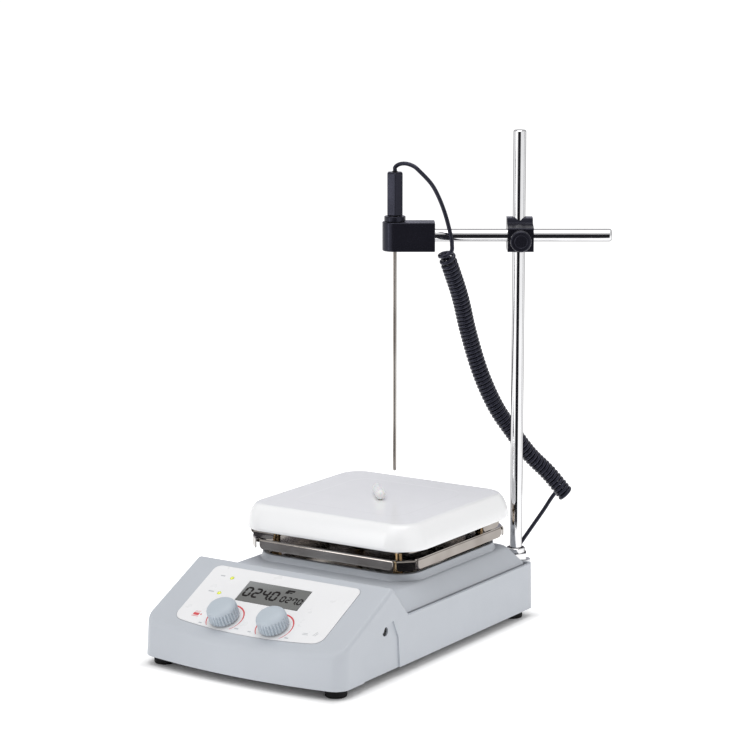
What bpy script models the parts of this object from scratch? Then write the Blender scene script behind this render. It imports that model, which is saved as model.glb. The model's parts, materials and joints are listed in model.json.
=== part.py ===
"""A magnetic stirrer with a hotplate, a support stand, a clamped temperature probe and its curly lead.

Metres, +Z up, the front towards -Y. Positions below are in a layout frame: x from the housing's middle
plane, y backwards from the front edge, z up from the floor. The empty "stirrer" carries that frame to
the world, so that the world's origin lies under the middle of the object's box.
"""

import math

import bmesh
import bpy
from mathutils import Vector

LAYOUT_ORIGIN = (-0.0231, -0.16747, 0.0)
GAP = 0.0003
WALL = 0.0025

# Housing: a wedge-shaped console in front, a low box behind
BODY_HALF = 0.09135
BODY_DEPTH = 0.2898
BASE_Z = 0.0071
SEAM_Z = 0.0442
FRONT_Y = 0.002
FRONT_BOW = 0.0092
FRONT_CORNER = 0.0095
REAR_CORNER = 0.006
SIDE_DRAFT = 0.2
FRONT_SLOPE = 0.064
RIDGE_RADIUS = 0.008
APEX_RADIUS = 0.003
EDGE_RADIUS = 0.003
APEX_Y = 0.0819
APEX_Z = 0.0696
CONSOLE_SLOPE = 0.5
REAR_SLOPE = 1.166
RECESS_DEPTH = 0.0012
LEDGE_Y = 0.106
LIMIT_HOLE = (0.0, 0.0712, 0.0386)
FOOT_X = 0.0785
FOOT_Y = (0.0225, 0.2769)

# Cover over the rear of the housing, with the plinth that the plate stands in
COVER_HALF = 0.0863
COVER_REAR = 0.2863
DECK_Z = 0.060
PLINTH_HALF = 0.0725
PLINTH_TOP = 0.065

# Hotplate and what turns under it
PLATE_Y = 0.19975
PLATE_TOP = 0.1046
SKIRT_Z = 0.08506
PLATE_CORNER = 0.0255
DISH_HALF = 0.050
DISH_DEPTH = 0.0001
POST_X = 0.057
POST_Y = 0.060
UPPER_SHIELD_Z = 0.0834
LOWER_SHIELD_Z = 0.0766
SHEET = 0.0008
SHAFT_RADIUS = 0.003
BAR_ANGLE = math.radians(-50)
BAR_RADIUS = 0.004
BAR_LENGTH = 0.030
MAGNET_SPACING = 0.034

# Console controls, in the console's own plane: u across, v up the slope, w out of it
OVERLAY_DEPTH = 0.0005
OVERLAY_HALF = 0.0672
OVERLAY_TOP = -0.0075
OVERLAY_LOW = -0.0760
OVERLAY_BOW = 0.0055
LCD_HALF = (0.02875, 0.01145)
LCD_V = -0.03035
KNOB_U = (-0.0240, 0.0213)
KNOB_V = -0.0623
KNOB_RADIUS = 0.01165
KNOB_BOTTOM = 0.0015
KNOB_TOP = 0.0144
FLUTES = 28
FLUTE_RADIUS = 0.0008
FLUTE_TOP = 0.0117
STEM_HOLE_RADIUS = 0.0045
LED_HOLE_RADIUS = 0.0018
LED_PLACES = ((-0.0454, -0.0193), (-0.0459, -0.0373))
BOARD_W = -0.0142

# Rear wall fittings
PANEL_X = (-0.080, 0.050)
PANEL_Z = (0.010, 0.042)
INLET_X = -0.045
SWITCH_X = -0.006
SOCKET_X = 0.040
SOCKET_Z = 0.026

# Stand
ROD_RADIUS = 0.005
BORE_RADIUS = 0.0053
UPRIGHT_X = 0.0686
UPRIGHT_Y = 0.2988
UPRIGHT_TOP = 0.3915
ARM_ANGLE = math.radians(33.21)
ARM_OFFSET = 0.011
ARM_Z = 0.3091
ARM_END = 0.073
ARM_INNER_END = -0.0847
CLAMP_KNOB_Z = 0.3063
PROBE_S = -0.0989
HOLDER_Z = (0.2968, 0.320)
HOLDER_HALF = 0.0100
HOLDER_INNER_END = -0.0672
HANDLE_TOP = 0.3594
HANDLE_RADIUS = 0.0070
PROBE_TIP = 0.118

# Lead of the probe: a straight end, the curly part's outer shape, and the tail down to the socket
CORD_RADIUS = 0.00165
COIL_RADIUS = 0.007
LEAD_ROUTE = (
    (-0.0081, 0.2355, 0.3602),
    (-0.0080, 0.2356, 0.3632),
    (-0.0042, 0.2367, 0.3657),
    (0.0012, 0.2380, 0.3661),
    (0.0070, 0.2391, 0.3643),
    (0.0115, 0.2399, 0.3610),
    (0.0216, 0.2418, 0.3512),
    (0.0288, 0.2417, 0.3408),
    (0.0345, 0.2418, 0.3285),
    (0.0386, 0.2421, 0.3155),
    (0.0405, 0.2426, 0.3060),
    (0.0400, 0.2431, 0.2995),
)
COIL_ROUTE = (
    (0.0343, 0.2435, 0.2980),
    (0.0344, 0.2465, 0.2915),
    (0.0356, 0.2628, 0.2611),
    (0.0354, 0.2771, 0.2288),
    (0.0395, 0.2893, 0.1951),
    (0.0462, 0.3021, 0.1661),
    (0.0546, 0.3135, 0.1454),
    (0.0649, 0.3251, 0.1247),
    (0.0767, 0.3376, 0.1072),
    (0.0891, 0.3457, 0.0890),
)
TAIL_ROUTE = (
    (0.0805, 0.3483, 0.0914),
    (0.0785, 0.3494, 0.0903),
    (0.0762, 0.3495, 0.0879),
    (0.0735, 0.3475, 0.0833),
    (0.0694, 0.3430, 0.0742),
    (0.0638, 0.3375, 0.0632),
    (0.0585, 0.3310, 0.0521),
    (0.0533, 0.3263, 0.0420),
    (0.0476, 0.3250, 0.0334),
    (0.0428, 0.3244, 0.0288),
    (0.0402, 0.3212, 0.0264),
    (0.0400, 0.3158, 0.0260),
)

FINISHES = {
    "housing": ((0.50, 0.53, 0.58), 0.45, 0.0),
    "knob_plastic": ((0.42, 0.47, 0.52), 0.5, 0.0),
    "overlay": ((0.85, 0.85, 0.86), 0.4, 0.0),
    "window": ((0.26, 0.26, 0.25), 0.15, 0.0),
    "led": ((0.45, 0.60, 0.15), 0.25, 0.0),
    "board": ((0.02, 0.18, 0.08), 0.6, 0.0),
    "component": ((0.05, 0.05, 0.06), 0.5, 0.0),
    "ceramic": ((0.88, 0.88, 0.90), 0.12, 0.0),
    "mica": ((0.35, 0.30, 0.22), 0.7, 0.0),
    "insulation": ((0.80, 0.78, 0.72), 0.9, 0.0),
    "stainless": ((0.62, 0.60, 0.58), 0.22, 1.0),
    "chrome": ((0.80, 0.80, 0.82), 0.08, 1.0),
    "steel": ((0.45, 0.45, 0.46), 0.4, 1.0),
    "brass": ((0.75, 0.55, 0.25), 0.3, 1.0),
    "magnet": ((0.55, 0.55, 0.57), 0.3, 1.0),
    "aluminium": ((0.65, 0.66, 0.68), 0.45, 1.0),
    "rubber": ((0.02, 0.02, 0.02), 0.8, 0.0),
    "black_plastic": ((0.018, 0.018, 0.022), 0.4, 0.0),
    "cable": ((0.015, 0.015, 0.018), 0.5, 0.0),
    "ptfe": ((0.90, 0.90, 0.90), 0.35, 0.0),
}


# ---------------------------------------------------------------- helpers


def clear_scene():
    for obj in list(bpy.data.objects):
        bpy.data.objects.remove(obj, do_unlink=True)


def finish(name):
    """The Principled material of this name, made on its first use."""
    found = bpy.data.materials.get(name)
    if found:
        return found
    colour, roughness, metallic = FINISHES[name]
    made = bpy.data.materials.new(name)
    made.use_nodes = True
    shader = made.node_tree.nodes["Principled BSDF"]
    shader.inputs["Base Color"].default_value = (*colour, 1.0)
    shader.inputs["Roughness"].default_value = roughness
    shader.inputs["Metallic"].default_value = metallic
    return made


def empty(name, place=(0, 0, 0), turn=(0, 0, 0), parent=None):
    made = bpy.data.objects.new(name, None)
    made.location = place
    made.rotation_euler = turn
    made.parent = parent
    bpy.context.scene.collection.objects.link(made)
    return made


def solid(name, bm, look, parent, place=(0, 0, 0), turn=(0, 0, 0)):
    """A named object from a bmesh, its faces turned outwards and its round parts shaded smooth."""
    bmesh.ops.recalc_face_normals(bm, faces=bm.faces)
    mesh = bpy.data.meshes.new(name)
    bm.to_mesh(mesh)
    bm.free()
    mesh.shade_smooth()
    mesh.set_sharp_from_angle(angle=math.radians(35))
    mesh.materials.append(finish(look))
    made = bpy.data.objects.new(name, mesh)
    made.location = place
    made.rotation_euler = turn
    made.parent = parent
    bpy.context.scene.collection.objects.link(made)
    return made


def helper(name, bm, parent, place=(0, 0, 0), turn=(0, 0, 0)):
    """A shape that only cuts or joins another: never rendered."""
    made = solid(name, bm, "steel", parent, place, turn)
    made.hide_render = True
    made.display_type = "WIRE"
    return made


def boolean(target, operation, *others):
    for other in others:
        modifier = target.modifiers.new(f"{operation.lower()} {other.name}", "BOOLEAN")
        modifier.operation = operation
        modifier.object = other


def cut(target, *others):
    boolean(target, "DIFFERENCE", *others)


def unite(target, *others):
    boolean(target, "UNION", *others)


def bevel(target, width, segments=2, angle=40):
    modifier = target.modifiers.new("bevel", "BEVEL")
    modifier.width = width
    modifier.segments = segments
    modifier.angle_limit = math.radians(angle)


def loft(rings):
    """A closed skin over rings that all have the same number of points."""
    bm = bmesh.new()
    rows = [[bm.verts.new(point) for point in ring] for ring in rings]
    for low, high in zip(rows, rows[1:]):
        for i in range(len(low)):
            j = (i + 1) % len(low)
            bm.faces.new((low[i], low[j], high[j], high[i]))
    bm.faces.new(list(reversed(rows[0])))
    bm.faces.new(rows[-1])
    return bm


def slab(outline, low, high):
    """A flat outline of (x, y) points, carried up from low to high."""
    return loft([[(x, y, z) for x, y in outline] for z in (low, high)])


def box(low, high):
    (x0, y0, z0), (x1, y1, z1) = low, high
    return slab(((x0, y0), (x1, y0), (x1, y1), (x0, y1)), z0, z1)


def side_slab(outline, x_low, x_high):
    """An outline of (y, z) points, carried across from x_low to x_high."""
    return loft([[(x, y, z) for y, z in outline] for x in (x_low, x_high)])


def turned(profile, steps=20):
    """A body of revolution about Z. A profile of (radius, height) points that starts and ends on the
    axis closes there, and any other is a loop."""
    bm = bmesh.new()
    rings = []
    for radius, height in profile:
        if radius == 0:
            rings.append([bm.verts.new((0, 0, height))] * steps)
            continue
        angles = [2 * math.pi * k / steps for k in range(steps)]
        rings.append([bm.verts.new((radius * math.cos(a), radius * math.sin(a), height)) for a in angles])
    pairs = list(zip(rings, rings[1:]))
    if profile[0][0] > 0:
        pairs.append((rings[-1], rings[0]))
    for first, second in pairs:
        for k in range(steps):
            n = (k + 1) % steps
            corners = dict.fromkeys((first[k], first[n], second[n], second[k]))
            bm.faces.new(list(corners))
    return bm


def rod(radius, low, high, chamfer=0.0, steps=20):
    if chamfer == 0:
        return turned(((0, low), (radius, low), (radius, high), (0, high)), steps)
    inner = radius - chamfer
    profile = (
        (0, low),
        (inner, low),
        (radius, low + chamfer),
        (radius, high - chamfer),
        (inner, high),
        (0, high),
    )
    return turned(profile, steps)


def ring(inner, outer, low, high, steps=20):
    return turned(((inner, low), (outer, low), (outer, high), (inner, high)), steps)


def rounded_square(half_x, half_y, radius, z=0.0, steps=5, centre=(0.0, 0.0)):
    """A ring of points around a square with round corners, anticlockwise from above."""
    points = []
    for quarter in range(4):
        turn = quarter * math.pi / 2
        sign_x = 1 if quarter in (0, 3) else -1
        sign_y = 1 if quarter in (0, 1) else -1
        middle_x = centre[0] + sign_x * (half_x - radius)
        middle_y = centre[1] + sign_y * (half_y - radius)
        for k in range(steps + 1):
            angle = turn + math.pi / 2 * k / steps
            x = middle_x + radius * math.cos(angle)
            y = middle_y + radius * math.sin(angle)
            points.append((x, y, z))
    return points


def fillet(points, radii, steps):
    """A flat outline with some of its corners rounded."""
    rounded = []
    count = len(points)
    for i, radius in enumerate(radii):
        corner = Vector(points[i])
        if radius <= 0:
            rounded.append(tuple(corner))
            continue
        to_last = (Vector(points[i - 1]) - corner).normalized()
        to_next = (Vector(points[(i + 1) % count]) - corner).normalized()
        half = to_last.angle(to_next) / 2
        centre = corner + (to_last + to_next).normalized() * radius / math.sin(half)
        reach = radius / math.tan(half)
        start = corner + to_last * reach - centre
        sweep = math.pi - 2 * half
        side = 1 if start.x * (-to_last.y) - start.y * (-to_last.x) > 0 else -1
        for k in range(steps + 1):
            a = side * sweep * k / steps
            x = start.x * math.cos(a) - start.y * math.sin(a)
            y = start.x * math.sin(a) + start.y * math.cos(a)
            rounded.append((centre.x + x, centre.y + y))
    return rounded


def smooth_points(route, spacing):
    """Evenly spaced points on a smooth curve through the route."""
    knots = [Vector(point) for point in route]
    ends = [2 * knots[0] - knots[1], *knots, 2 * knots[-1] - knots[-2]]
    fine = []
    for a, b, c, d in zip(ends, ends[1:], ends[2:], ends[3:]):
        for k in range(20):
            t = k / 20
            bend = 2 * a - 5 * b + 4 * c - d
            twist = 3 * b - a - 3 * c + d
            fine.append((2 * b + (c - a) * t + bend * t * t + twist * t**3) / 2)
    fine.append(knots[-1])
    lengths = [(q - p).length for p, q in zip(fine, fine[1:])]
    total = sum(lengths)
    count = max(2, round(total / spacing))
    points = [fine[0]]
    done = 0.0
    for p, q, length in zip(fine, fine[1:], lengths):
        while len(points) < count and done + length >= total * len(points) / count:
            share = (total * len(points) / count - done) / length
            points.append(p.lerp(q, share))
        done += length
    points.append(fine[-1])
    return points


def tube(name, route, radius, spacing, look, parent, sides=2):
    """A cord along a route."""
    curve = bpy.data.curves.new(name, "CURVE")
    curve.dimensions = "3D"
    curve.bevel_depth = radius
    curve.bevel_resolution = sides
    curve.use_fill_caps = True
    points = smooth_points(route, spacing)
    spline = curve.splines.new("POLY")
    spline.points.add(len(points) - 1)
    for target, point in zip(spline.points, points):
        target.co = (*point, 1.0)
    curve.materials.append(finish(look))
    made = bpy.data.objects.new(name, curve)
    made.parent = parent
    bpy.context.scene.collection.objects.link(made)
    return made


# ---------------------------------------------------------------- housing


def meet(point, slope, other, other_slope):
    """Where two lines z = slope * (y - y0) + z0 cross."""
    y = (other[1] - point[1] + slope * point[0] - other_slope * other[0]) / (slope - other_slope)
    return y, point[1] + slope * (y - point[0])


def arc_drop(side, half, radius):
    """How far a round corner of this radius falls away at a distance from the middle."""
    into = max(0.0, side - (half - radius))
    return radius - math.sqrt(max(0.0, radius**2 - into**2))


def front_y(x, shell):
    """The front edge in plan: a shallow bow that runs into a round corner at each side."""
    bow = FRONT_BOW * (abs(x) / BODY_HALF) ** 2
    return FRONT_Y + shell + bow + arc_drop(abs(x), BODY_HALF - shell, FRONT_CORNER - shell)


def rear_y(x, shell):
    return BODY_DEPTH - shell - arc_drop(abs(x), BODY_HALF - shell, REAR_CORNER - shell)


def stations(shell, inner=4, corner=7):
    """Places across the housing, closer together in its round corners."""
    radius = FRONT_CORNER - shell
    flat = BODY_HALF - shell - radius
    right = [flat * (i + 1) / inner for i in range(inner)]
    right += [flat + radius * math.sin(math.pi / 2 * (i + 1) / corner) for i in range(corner)]
    return [-x for x in reversed(right)] + [0.0] + right


def section(x, shell):
    """The housing's outline in (y, z) at x. A shell above 0 gives the hollow inside, open below and
    behind the console above."""
    edge = max(EDGE_RADIUS - shell, 0.0005)
    lost = shell + arc_drop(abs(x), BODY_HALF - shell, edge)
    floor = BASE_Z if shell == 0 else -0.005
    front = front_y(x, shell)
    back = rear_y(x, shell)
    console = (APEX_Y, APEX_Z - lost * math.hypot(1, CONSOLE_SLOPE))
    rear = (APEX_Y, APEX_Z - lost * math.hypot(1, REAR_SLOPE))
    ridge = meet((front, BASE_Z), 1 / FRONT_SLOPE, console, CONSOLE_SLOPE)
    apex = meet(console, CONSOLE_SLOPE, rear, -REAR_SLOPE)
    bottom = front + (floor - BASE_Z) * FRONT_SLOPE
    if shell == 0:
        foot = (APEX_Y + (rear[1] - SEAM_Z) / REAR_SLOPE, SEAM_Z)
        behind = [foot, (back, SEAM_Z), (back, floor)]
    else:
        ledge = SEAM_Z - 0.0012
        foot = (APEX_Y + (rear[1] - ledge) / REAR_SLOPE, ledge)
        behind = [foot, (LEDGE_Y, ledge), (LEDGE_Y, 0.075), (back, 0.075), (back, floor)]
    corners = [(bottom, floor), ridge, apex, *behind]
    radii = [0, RIDGE_RADIUS - shell, max(APEX_RADIUS - shell, 0.0005)] + [0] * len(behind)
    return fillet(corners, radii, 5)


def drafted(x, z):
    """The sides lean in a little towards the top."""
    return x * (1 - SIDE_DRAFT * max(0.0, z - BASE_Z))


def housing_shape(shell):
    return loft([[(drafted(x, z), y, z) for y, z in section(x, shell)] for x in stations(shell)])


def recess_shape(side):
    """A shallow step in the side wall, between the console's part and the low part."""
    outline = ((0.0403, 0.0), (0.0893, 0.0), (0.0876, 0.0302), (0.0806, 0.0451), (0.0403, 0.0265))
    rows = []
    for out in (-RECESS_DEPTH, 0.004):
        rows.append([(side * (drafted(BODY_HALF, z) + out), y, z) for y, z in outline])
    return loft(rows)


def build_housing(frame, console):
    body = solid("main_housing", housing_shape(0.0), "housing", frame)
    cut(body, helper("housing_hollow", housing_shape(WALL), frame))
    for side in (-1, 1):
        cut(body, helper(f"side_recess_{side}", recess_shape(side), frame))
    sideways = (0, math.pi / 2, 0)
    cut(body, helper("limit_hole", rod(0.0033, 0.070, 0.100), frame, LIMIT_HOLE, sideways))
    low = (PANEL_X[0] - GAP, BODY_DEPTH - 0.006, PANEL_Z[0] - GAP)
    high = (PANEL_X[1] + GAP, BODY_DEPTH + 0.004, PANEL_Z[1] + GAP)
    cut(body, helper("panel_hole", box(low, high), frame))
    outline = overlay_outline(GAP)
    cut(body, helper("overlay_seat", slab(outline, -OVERLAY_DEPTH, 0.004), console))
    half_u, half_v = LCD_HALF[0] - 0.002, LCD_HALF[1] - 0.0015
    window = box((-half_u, LCD_V - half_v, -0.006), (half_u, LCD_V + half_v, 0.004))
    cut(body, helper("window_hole", window, console))
    for i, u in enumerate(KNOB_U):
        hole = rod(STEM_HOLE_RADIUS, -0.006, 0.006)
        cut(body, helper(f"stem_hole_{i}", hole, console, (u, KNOB_V, 0)))
    for i, (u, v) in enumerate(LED_PLACES):
        hole = rod(LED_HOLE_RADIUS, -0.006, 0.006, steps=16)
        cut(body, helper(f"led_hole_{i}", hole, console, (u, v, 0)))


def cover_rings(shell):
    """The rear cover from its foot to its deck: sloping sides and a rounded edge."""
    rings = []
    shape = (
        (0.0, SEAM_Z - 0.002),
        (0.0, SEAM_Z + 0.0004),
        (0.0090, 0.0571),
        (0.0107, 0.0588),
        (0.0129, 0.0597),
        (0.0153, DECK_Z),
    )
    for inward, z in shape:
        half = COVER_HALF - shell - inward
        back = COVER_REAR - shell - inward
        middle = (back + 0.060) / 2
        length = (back - 0.060) / 2
        height = z - shell if z > SEAM_Z + 0.001 else z - 2 * shell
        rings.append(rounded_square(half, length, 0.008, height, 4, (0.0, middle)))
    return rings


def console_side(clearance):
    """What lies on the console's side of the cover's front edge."""
    front, top = 0.030, 0.090
    shelf = SEAM_Z + 0.0004
    run = APEX_Y + clearance * math.hypot(1, 1 / REAR_SLOPE)
    at_top = run - (top - APEX_Z) / REAR_SLOPE
    at_ledge = run + (APEX_Z - shelf) / REAR_SLOPE
    ledge = LEDGE_Y + clearance
    return ((front, 0.0), (ledge, 0.0), (ledge, shelf), (at_ledge, shelf), (at_top, top), (front, top))


def build_cover(frame):
    cover = solid("top_cover", loft(cover_rings(0.0)), "housing", frame)
    plinth_low, plinth_high = DECK_Z - 0.002, PLINTH_TOP
    centre = (0.0, PLATE_Y)
    outer = [
        rounded_square(PLINTH_HALF + 0.0015, PLINTH_HALF + 0.0015, 0.023, plinth_low, 6, centre),
        rounded_square(PLINTH_HALF, PLINTH_HALF, 0.022, plinth_high - 0.0006, 6, centre),
        rounded_square(PLINTH_HALF - 0.0006, PLINTH_HALF - 0.0006, 0.022, plinth_high, 6, centre),
    ]
    unite(cover, helper("plinth", loft(outer), frame))
    well = PLINTH_HALF - 0.003
    inner = [rounded_square(well, well, 0.0195, z, 6, centre) for z in (DECK_Z, 0.070)]
    cut(cover, helper("plinth_well", loft(inner), frame))
    hollow = helper("cover_hollow", loft(cover_rings(WALL)), frame)
    cut(hollow, helper("cover_hollow_end", side_slab(console_side(GAP + WALL), -0.1, 0.1), frame))
    cut(cover, hollow)
    cut(cover, helper("cover_end", side_slab(console_side(GAP), -0.1, 0.1), frame))
    cut(cover, helper("shaft_hole", rod(0.008, 0.050, 0.070), frame, (0, PLATE_Y, 0)))


def build_base(frame):
    shell = WALL + GAP
    places = stations(shell)
    outline = [(x, front_y(x, shell)) for x in places]
    outline += [(x, rear_y(x, shell)) for x in reversed(places)]
    plate = solid("bottom_plate", slab(outline, BASE_Z, BASE_Z + 0.0015), "steel", frame)
    vents = []
    for row in range(5):
        y = 0.120 + 0.008 * row
        vents.append(helper(f"vent_{row}", box((-0.030, y, 0.0), (0.030, y + 0.003, 0.020)), frame))
    cut(plate, *vents)
    top = BASE_Z - GAP
    profile = ((0, 0), (0.0076, 0), (0.0082, 0.0008), (0.0082, 0.0055), (0.0070, top), (0, top))
    for i, (x, y) in enumerate([(x, y) for y in FOOT_Y for x in (-FOOT_X, FOOT_X)]):
        solid(f"foot_{i}", turned(profile, 20), "rubber", frame, (x, y, 0))


# ---------------------------------------------------------------- console


def overlay_outline(margin=0.0):
    """The printed overlay: straight sides, round corners and a bowed lower edge, in (u, v)."""
    top = OVERLAY_TOP + margin
    side = OVERLAY_HALF + margin
    low = OVERLAY_LOW - margin
    reach = 0.055
    corners = [(side, top), (-side, top), (-side, low + OVERLAY_BOW)]
    for k in range(13):
        u = reach * (k / 6 - 1)
        corners.append((u, low + OVERLAY_BOW * (u / side) ** 2))
    corners.append((side, low + OVERLAY_BOW))
    return fillet(corners, [0.006, 0.006, 0.009] + [0] * 13 + [0.009], 5)


def build_console(console):
    sheet = slab(overlay_outline(), -OVERLAY_DEPTH + GAP, GAP)
    overlay = solid("console_overlay", sheet, "overlay", console)
    half_u, half_v = LCD_HALF
    hole = box((-half_u, LCD_V - half_v, -0.004), (half_u, LCD_V + half_v, 0.004))
    cut(overlay, helper("overlay_window", hole, console))
    low = (-half_u + GAP, LCD_V - half_v + GAP, -OVERLAY_DEPTH + GAP)
    high = (half_u - GAP, LCD_V + half_v - GAP, GAP)
    solid("lcd_window", box(low, high), "window", console)
    shape = box((-0.031, LCD_V - 0.014, -0.0075), (0.031, LCD_V + 0.014, -0.0030))
    module = solid("lcd_module", shape, "component", console)
    bevel(module, 0.0005, 1)
    dome = ((0, -0.005), (0.0015, -0.005), (0.0015, 0.0002), (0.0012, 0.0007), (0.0006, 0.0010), (0, 0.0011))
    for name, (u, v) in zip(("led_heat", "led_stir"), LED_PLACES):
        hole = rod(LED_HOLE_RADIUS, -0.004, 0.004, steps=16)
        cut(overlay, helper(f"overlay_{name}", hole, console, (u, v, 0)))
        solid(name, turned(dome, 12), "led", console, (u, v, 0))
    for name, u in zip(("heat", "stir"), KNOB_U):
        place = (u, KNOB_V, 0)
        hole = rod(STEM_HOLE_RADIUS, -0.004, 0.004)
        cut(overlay, helper(f"overlay_stem_{name}", hole, console, place))
        build_encoder(name, console, place)
    board = box((-0.062, -0.075, BOARD_W), (0.062, -0.014, BOARD_W + 0.0016))
    solid("control_board", board, "board", console)


def build_encoder(name, console, place):
    """A push and turn control: the knob on its shaft, and the shaft in the encoder's body."""
    profile = (
        (0, 0.0110),
        (0.0033, 0.0110),
        (0.0033, KNOB_BOTTOM),
        (KNOB_RADIUS, KNOB_BOTTOM),
        (KNOB_RADIUS, FLUTE_TOP + 0.0004),
        (0.0110, 0.0130),
        (0.0090, 0.0137),
        (0.0045, KNOB_TOP - 0.0001),
        (0, KNOB_TOP),
    )
    knob = solid(f"knob_{name}", turned(profile, 2 * FLUTES), "knob_plastic", console, place)
    flutes = bmesh.new()
    bottom = KNOB_BOTTOM - GAP
    for k in range(FLUTES):
        angle = 2 * math.pi * k / FLUTES
        part = bmesh.ops.create_cone(
            flutes,
            cap_ends=True,
            segments=4,
            radius1=FLUTE_RADIUS,
            radius2=FLUTE_RADIUS,
            depth=FLUTE_TOP - bottom,
        )
        middle = (KNOB_RADIUS * math.cos(angle), KNOB_RADIUS * math.sin(angle), (FLUTE_TOP + bottom) / 2)
        bmesh.ops.translate(flutes, verts=part["verts"], vec=middle)
    cut(knob, helper(f"flutes_{name}", flutes, console, place))
    solid(f"encoder_shaft_{name}", rod(0.0030, -0.0095, 0.0107, 0.0003), "steel", console, place)
    case = box((-0.007, -0.0065, -0.0123), (0.007, 0.0065, -0.0055))
    body = solid(f"encoder_body_{name}", case, "component", console, place)
    cut(body, helper(f"encoder_bore_{name}", rod(0.0033, -0.0108, 0.002), console, place))


def build_limit_screw(frame):
    """The adjuster of the safety temperature limit, down in its hole in the side."""
    sideways = (0, math.pi / 2, 0)
    shape = rod(0.0029, 0.0800, 0.0888, 0.0003)
    screw = solid("safety_limit_screw", shape, "component", frame, LIMIT_HOLE, sideways)
    slot = box((-0.0005, -0.004, 0.0880), (0.0005, 0.004, 0.0900))
    cut(screw, helper("limit_slot", slot, frame, LIMIT_HOLE, sideways))


# ---------------------------------------------------------------- drive


def build_power_board(frame):
    sheet = box((-0.082, 0.115, 0.0125), (-0.040, 0.245, 0.0141))
    board = solid("power_board", sheet, "board", frame)
    parts = (
        ((-0.078, 0.120, 0.0140), (-0.046, 0.152, 0.0380)),
        ((-0.078, 0.158, 0.0140), (-0.066, 0.200, 0.0320)),
        ((-0.060, 0.160, 0.0140), (-0.046, 0.176, 0.0300)),
        ((-0.074, 0.208, 0.0140), (-0.046, 0.236, 0.0260)),
    )
    for i, (low, high) in enumerate(parts):
        unite(board, helper(f"power_part_{i}", box(low, high), frame))


def build_motor(frame, rotor):
    can = (
        (0.0085, 0.0220),
        (0.0310, 0.0220),
        (0.0320, 0.0230),
        (0.0320, 0.0520),
        (0.0312, 0.0527),
        (0.0085, 0.0527),
        (0.0085, 0.0503),
        (0.0300, 0.0503),
        (0.0300, 0.0244),
        (0.0085, 0.0244),
    )
    place = (0, PLATE_Y, 0)
    solid("motor_housing", turned(can, 24), "steel", frame, place)
    strip = box((-0.045, -0.030, 0.0530), (0.045, 0.030, 0.0545))
    bracket = solid("motor_bracket", strip, "steel", frame, place)
    for i, (x, y) in enumerate([(x, y) for y in (-0.022, 0.022) for x in (-0.038, 0.038)]):
        standoff = rod(0.004, 0.0535, 0.0572, steps=12)
        unite(bracket, helper(f"standoff_{i}", standoff, frame, (x, PLATE_Y + y, 0)))
    cut(bracket, helper("bracket_hole", rod(0.0088, 0.045, 0.060), frame, place))
    solid("bearing_upper", ring(SHAFT_RADIUS + GAP, 0.0082, 0.0500, 0.0545), "steel", frame, place)
    solid("bearing_lower", ring(SHAFT_RADIUS + GAP, 0.0082, 0.0202, 0.0247), "steel", frame, place)
    solid("motor_shaft", rod(SHAFT_RADIUS, 0.0160, 0.0815, 0.0004), "steel", rotor)
    half = MAGNET_SPACING / 2
    rings = [rounded_square(half + 0.011, 0.011, 0.0108, z, 6) for z in (0.0762, 0.0820)]
    carrier = solid("magnet_carrier", loft(rings), "aluminium", rotor)
    cut(carrier, helper("carrier_bore", rod(SHAFT_RADIUS + GAP, 0.070, 0.090), rotor))
    for i, side in enumerate((-1, 1)):
        solid(f"drive_magnet_{i}", rod(0.008, 0.0823, 0.0900, 0.0005), "magnet", rotor, (side * half, 0, 0))


# ---------------------------------------------------------------- hotplate


def build_hotplate(frame):
    centre = (0.0, PLATE_Y)
    skirt = (
        (0.0812, SKIRT_Z),
        (0.0819, 0.0858),
        (0.0819, 0.0880),
        (0.0808, 0.0935),
        (0.0791, 0.0980),
        (0.0771, 0.1015),
        (0.0750, 0.1036),
        (0.0728, PLATE_TOP),
    )
    rings = [rounded_square(half, half, PLATE_CORNER - 0.082 + half, z, 8, centre) for half, z in skirt]
    plate = solid("hotplate", loft(rings), "ceramic", frame)
    heights = (PLATE_TOP - DISH_DEPTH, PLATE_TOP + 0.005)
    dish = [rounded_square(DISH_HALF, DISH_HALF, 0.015, z, 3, centre) for z in heights]
    cut(plate, helper("plate_dish", loft(dish), frame))
    hollow = ((0.0786, 0.0800), (0.0745, 0.0986))
    under = [rounded_square(half, half, 0.020, z, 5, centre) for half, z in hollow]
    cut(plate, helper("plate_hollow", loft(under), frame))
    place = (0, PLATE_Y, 0)
    solid("heater_element", ring(0.015, 0.060, 0.0948, 0.0983, 24), "mica", frame, place)
    solid("insulation_pad", ring(0.015, 0.062, 0.0912, 0.0945, 24), "insulation", frame, place)
    button = box((-0.008, 0.0645, 0.0950), (0.008, 0.0700, 0.0983))
    sensor = solid("plate_sensor", button, "steel", frame, place)
    bevel(sensor, 0.0006, 1)


def flap(name, shield, frame, across, heights, side, out, slant):
    """A tab bent down from a shield's edge: across gives its two ends, side its place round the square."""
    first, last = across
    low, high = heights
    outline = ((first, high), (last, high), (last - slant, low), (first + slant, low))
    rows = [[(u, y, z) for u, z in outline] for y in (-out, -out + SHEET)]
    part = helper(name, loft(rows), frame, (0, PLATE_Y, 0), (0, 0, side * math.pi / 2))
    unite(shield, part)


def build_shield(name, half, radius, z, frame):
    centre = (0.0, PLATE_Y)
    rows = [rounded_square(half, half, radius, height, 4, centre) for height in (z, z + SHEET)]
    shield = solid(name, loft(rows), "stainless", frame)
    cut(shield, helper(f"{name}_hole", rod(0.040, 0.070, 0.090, steps=28), frame, (0, PLATE_Y, 0)))
    for i, (x, y) in enumerate(post_places()):
        cut(shield, helper(f"{name}_post_{i}", rod(0.0034, 0.070, 0.090, steps=16), frame, (x, y, 0)))
    return shield


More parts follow.
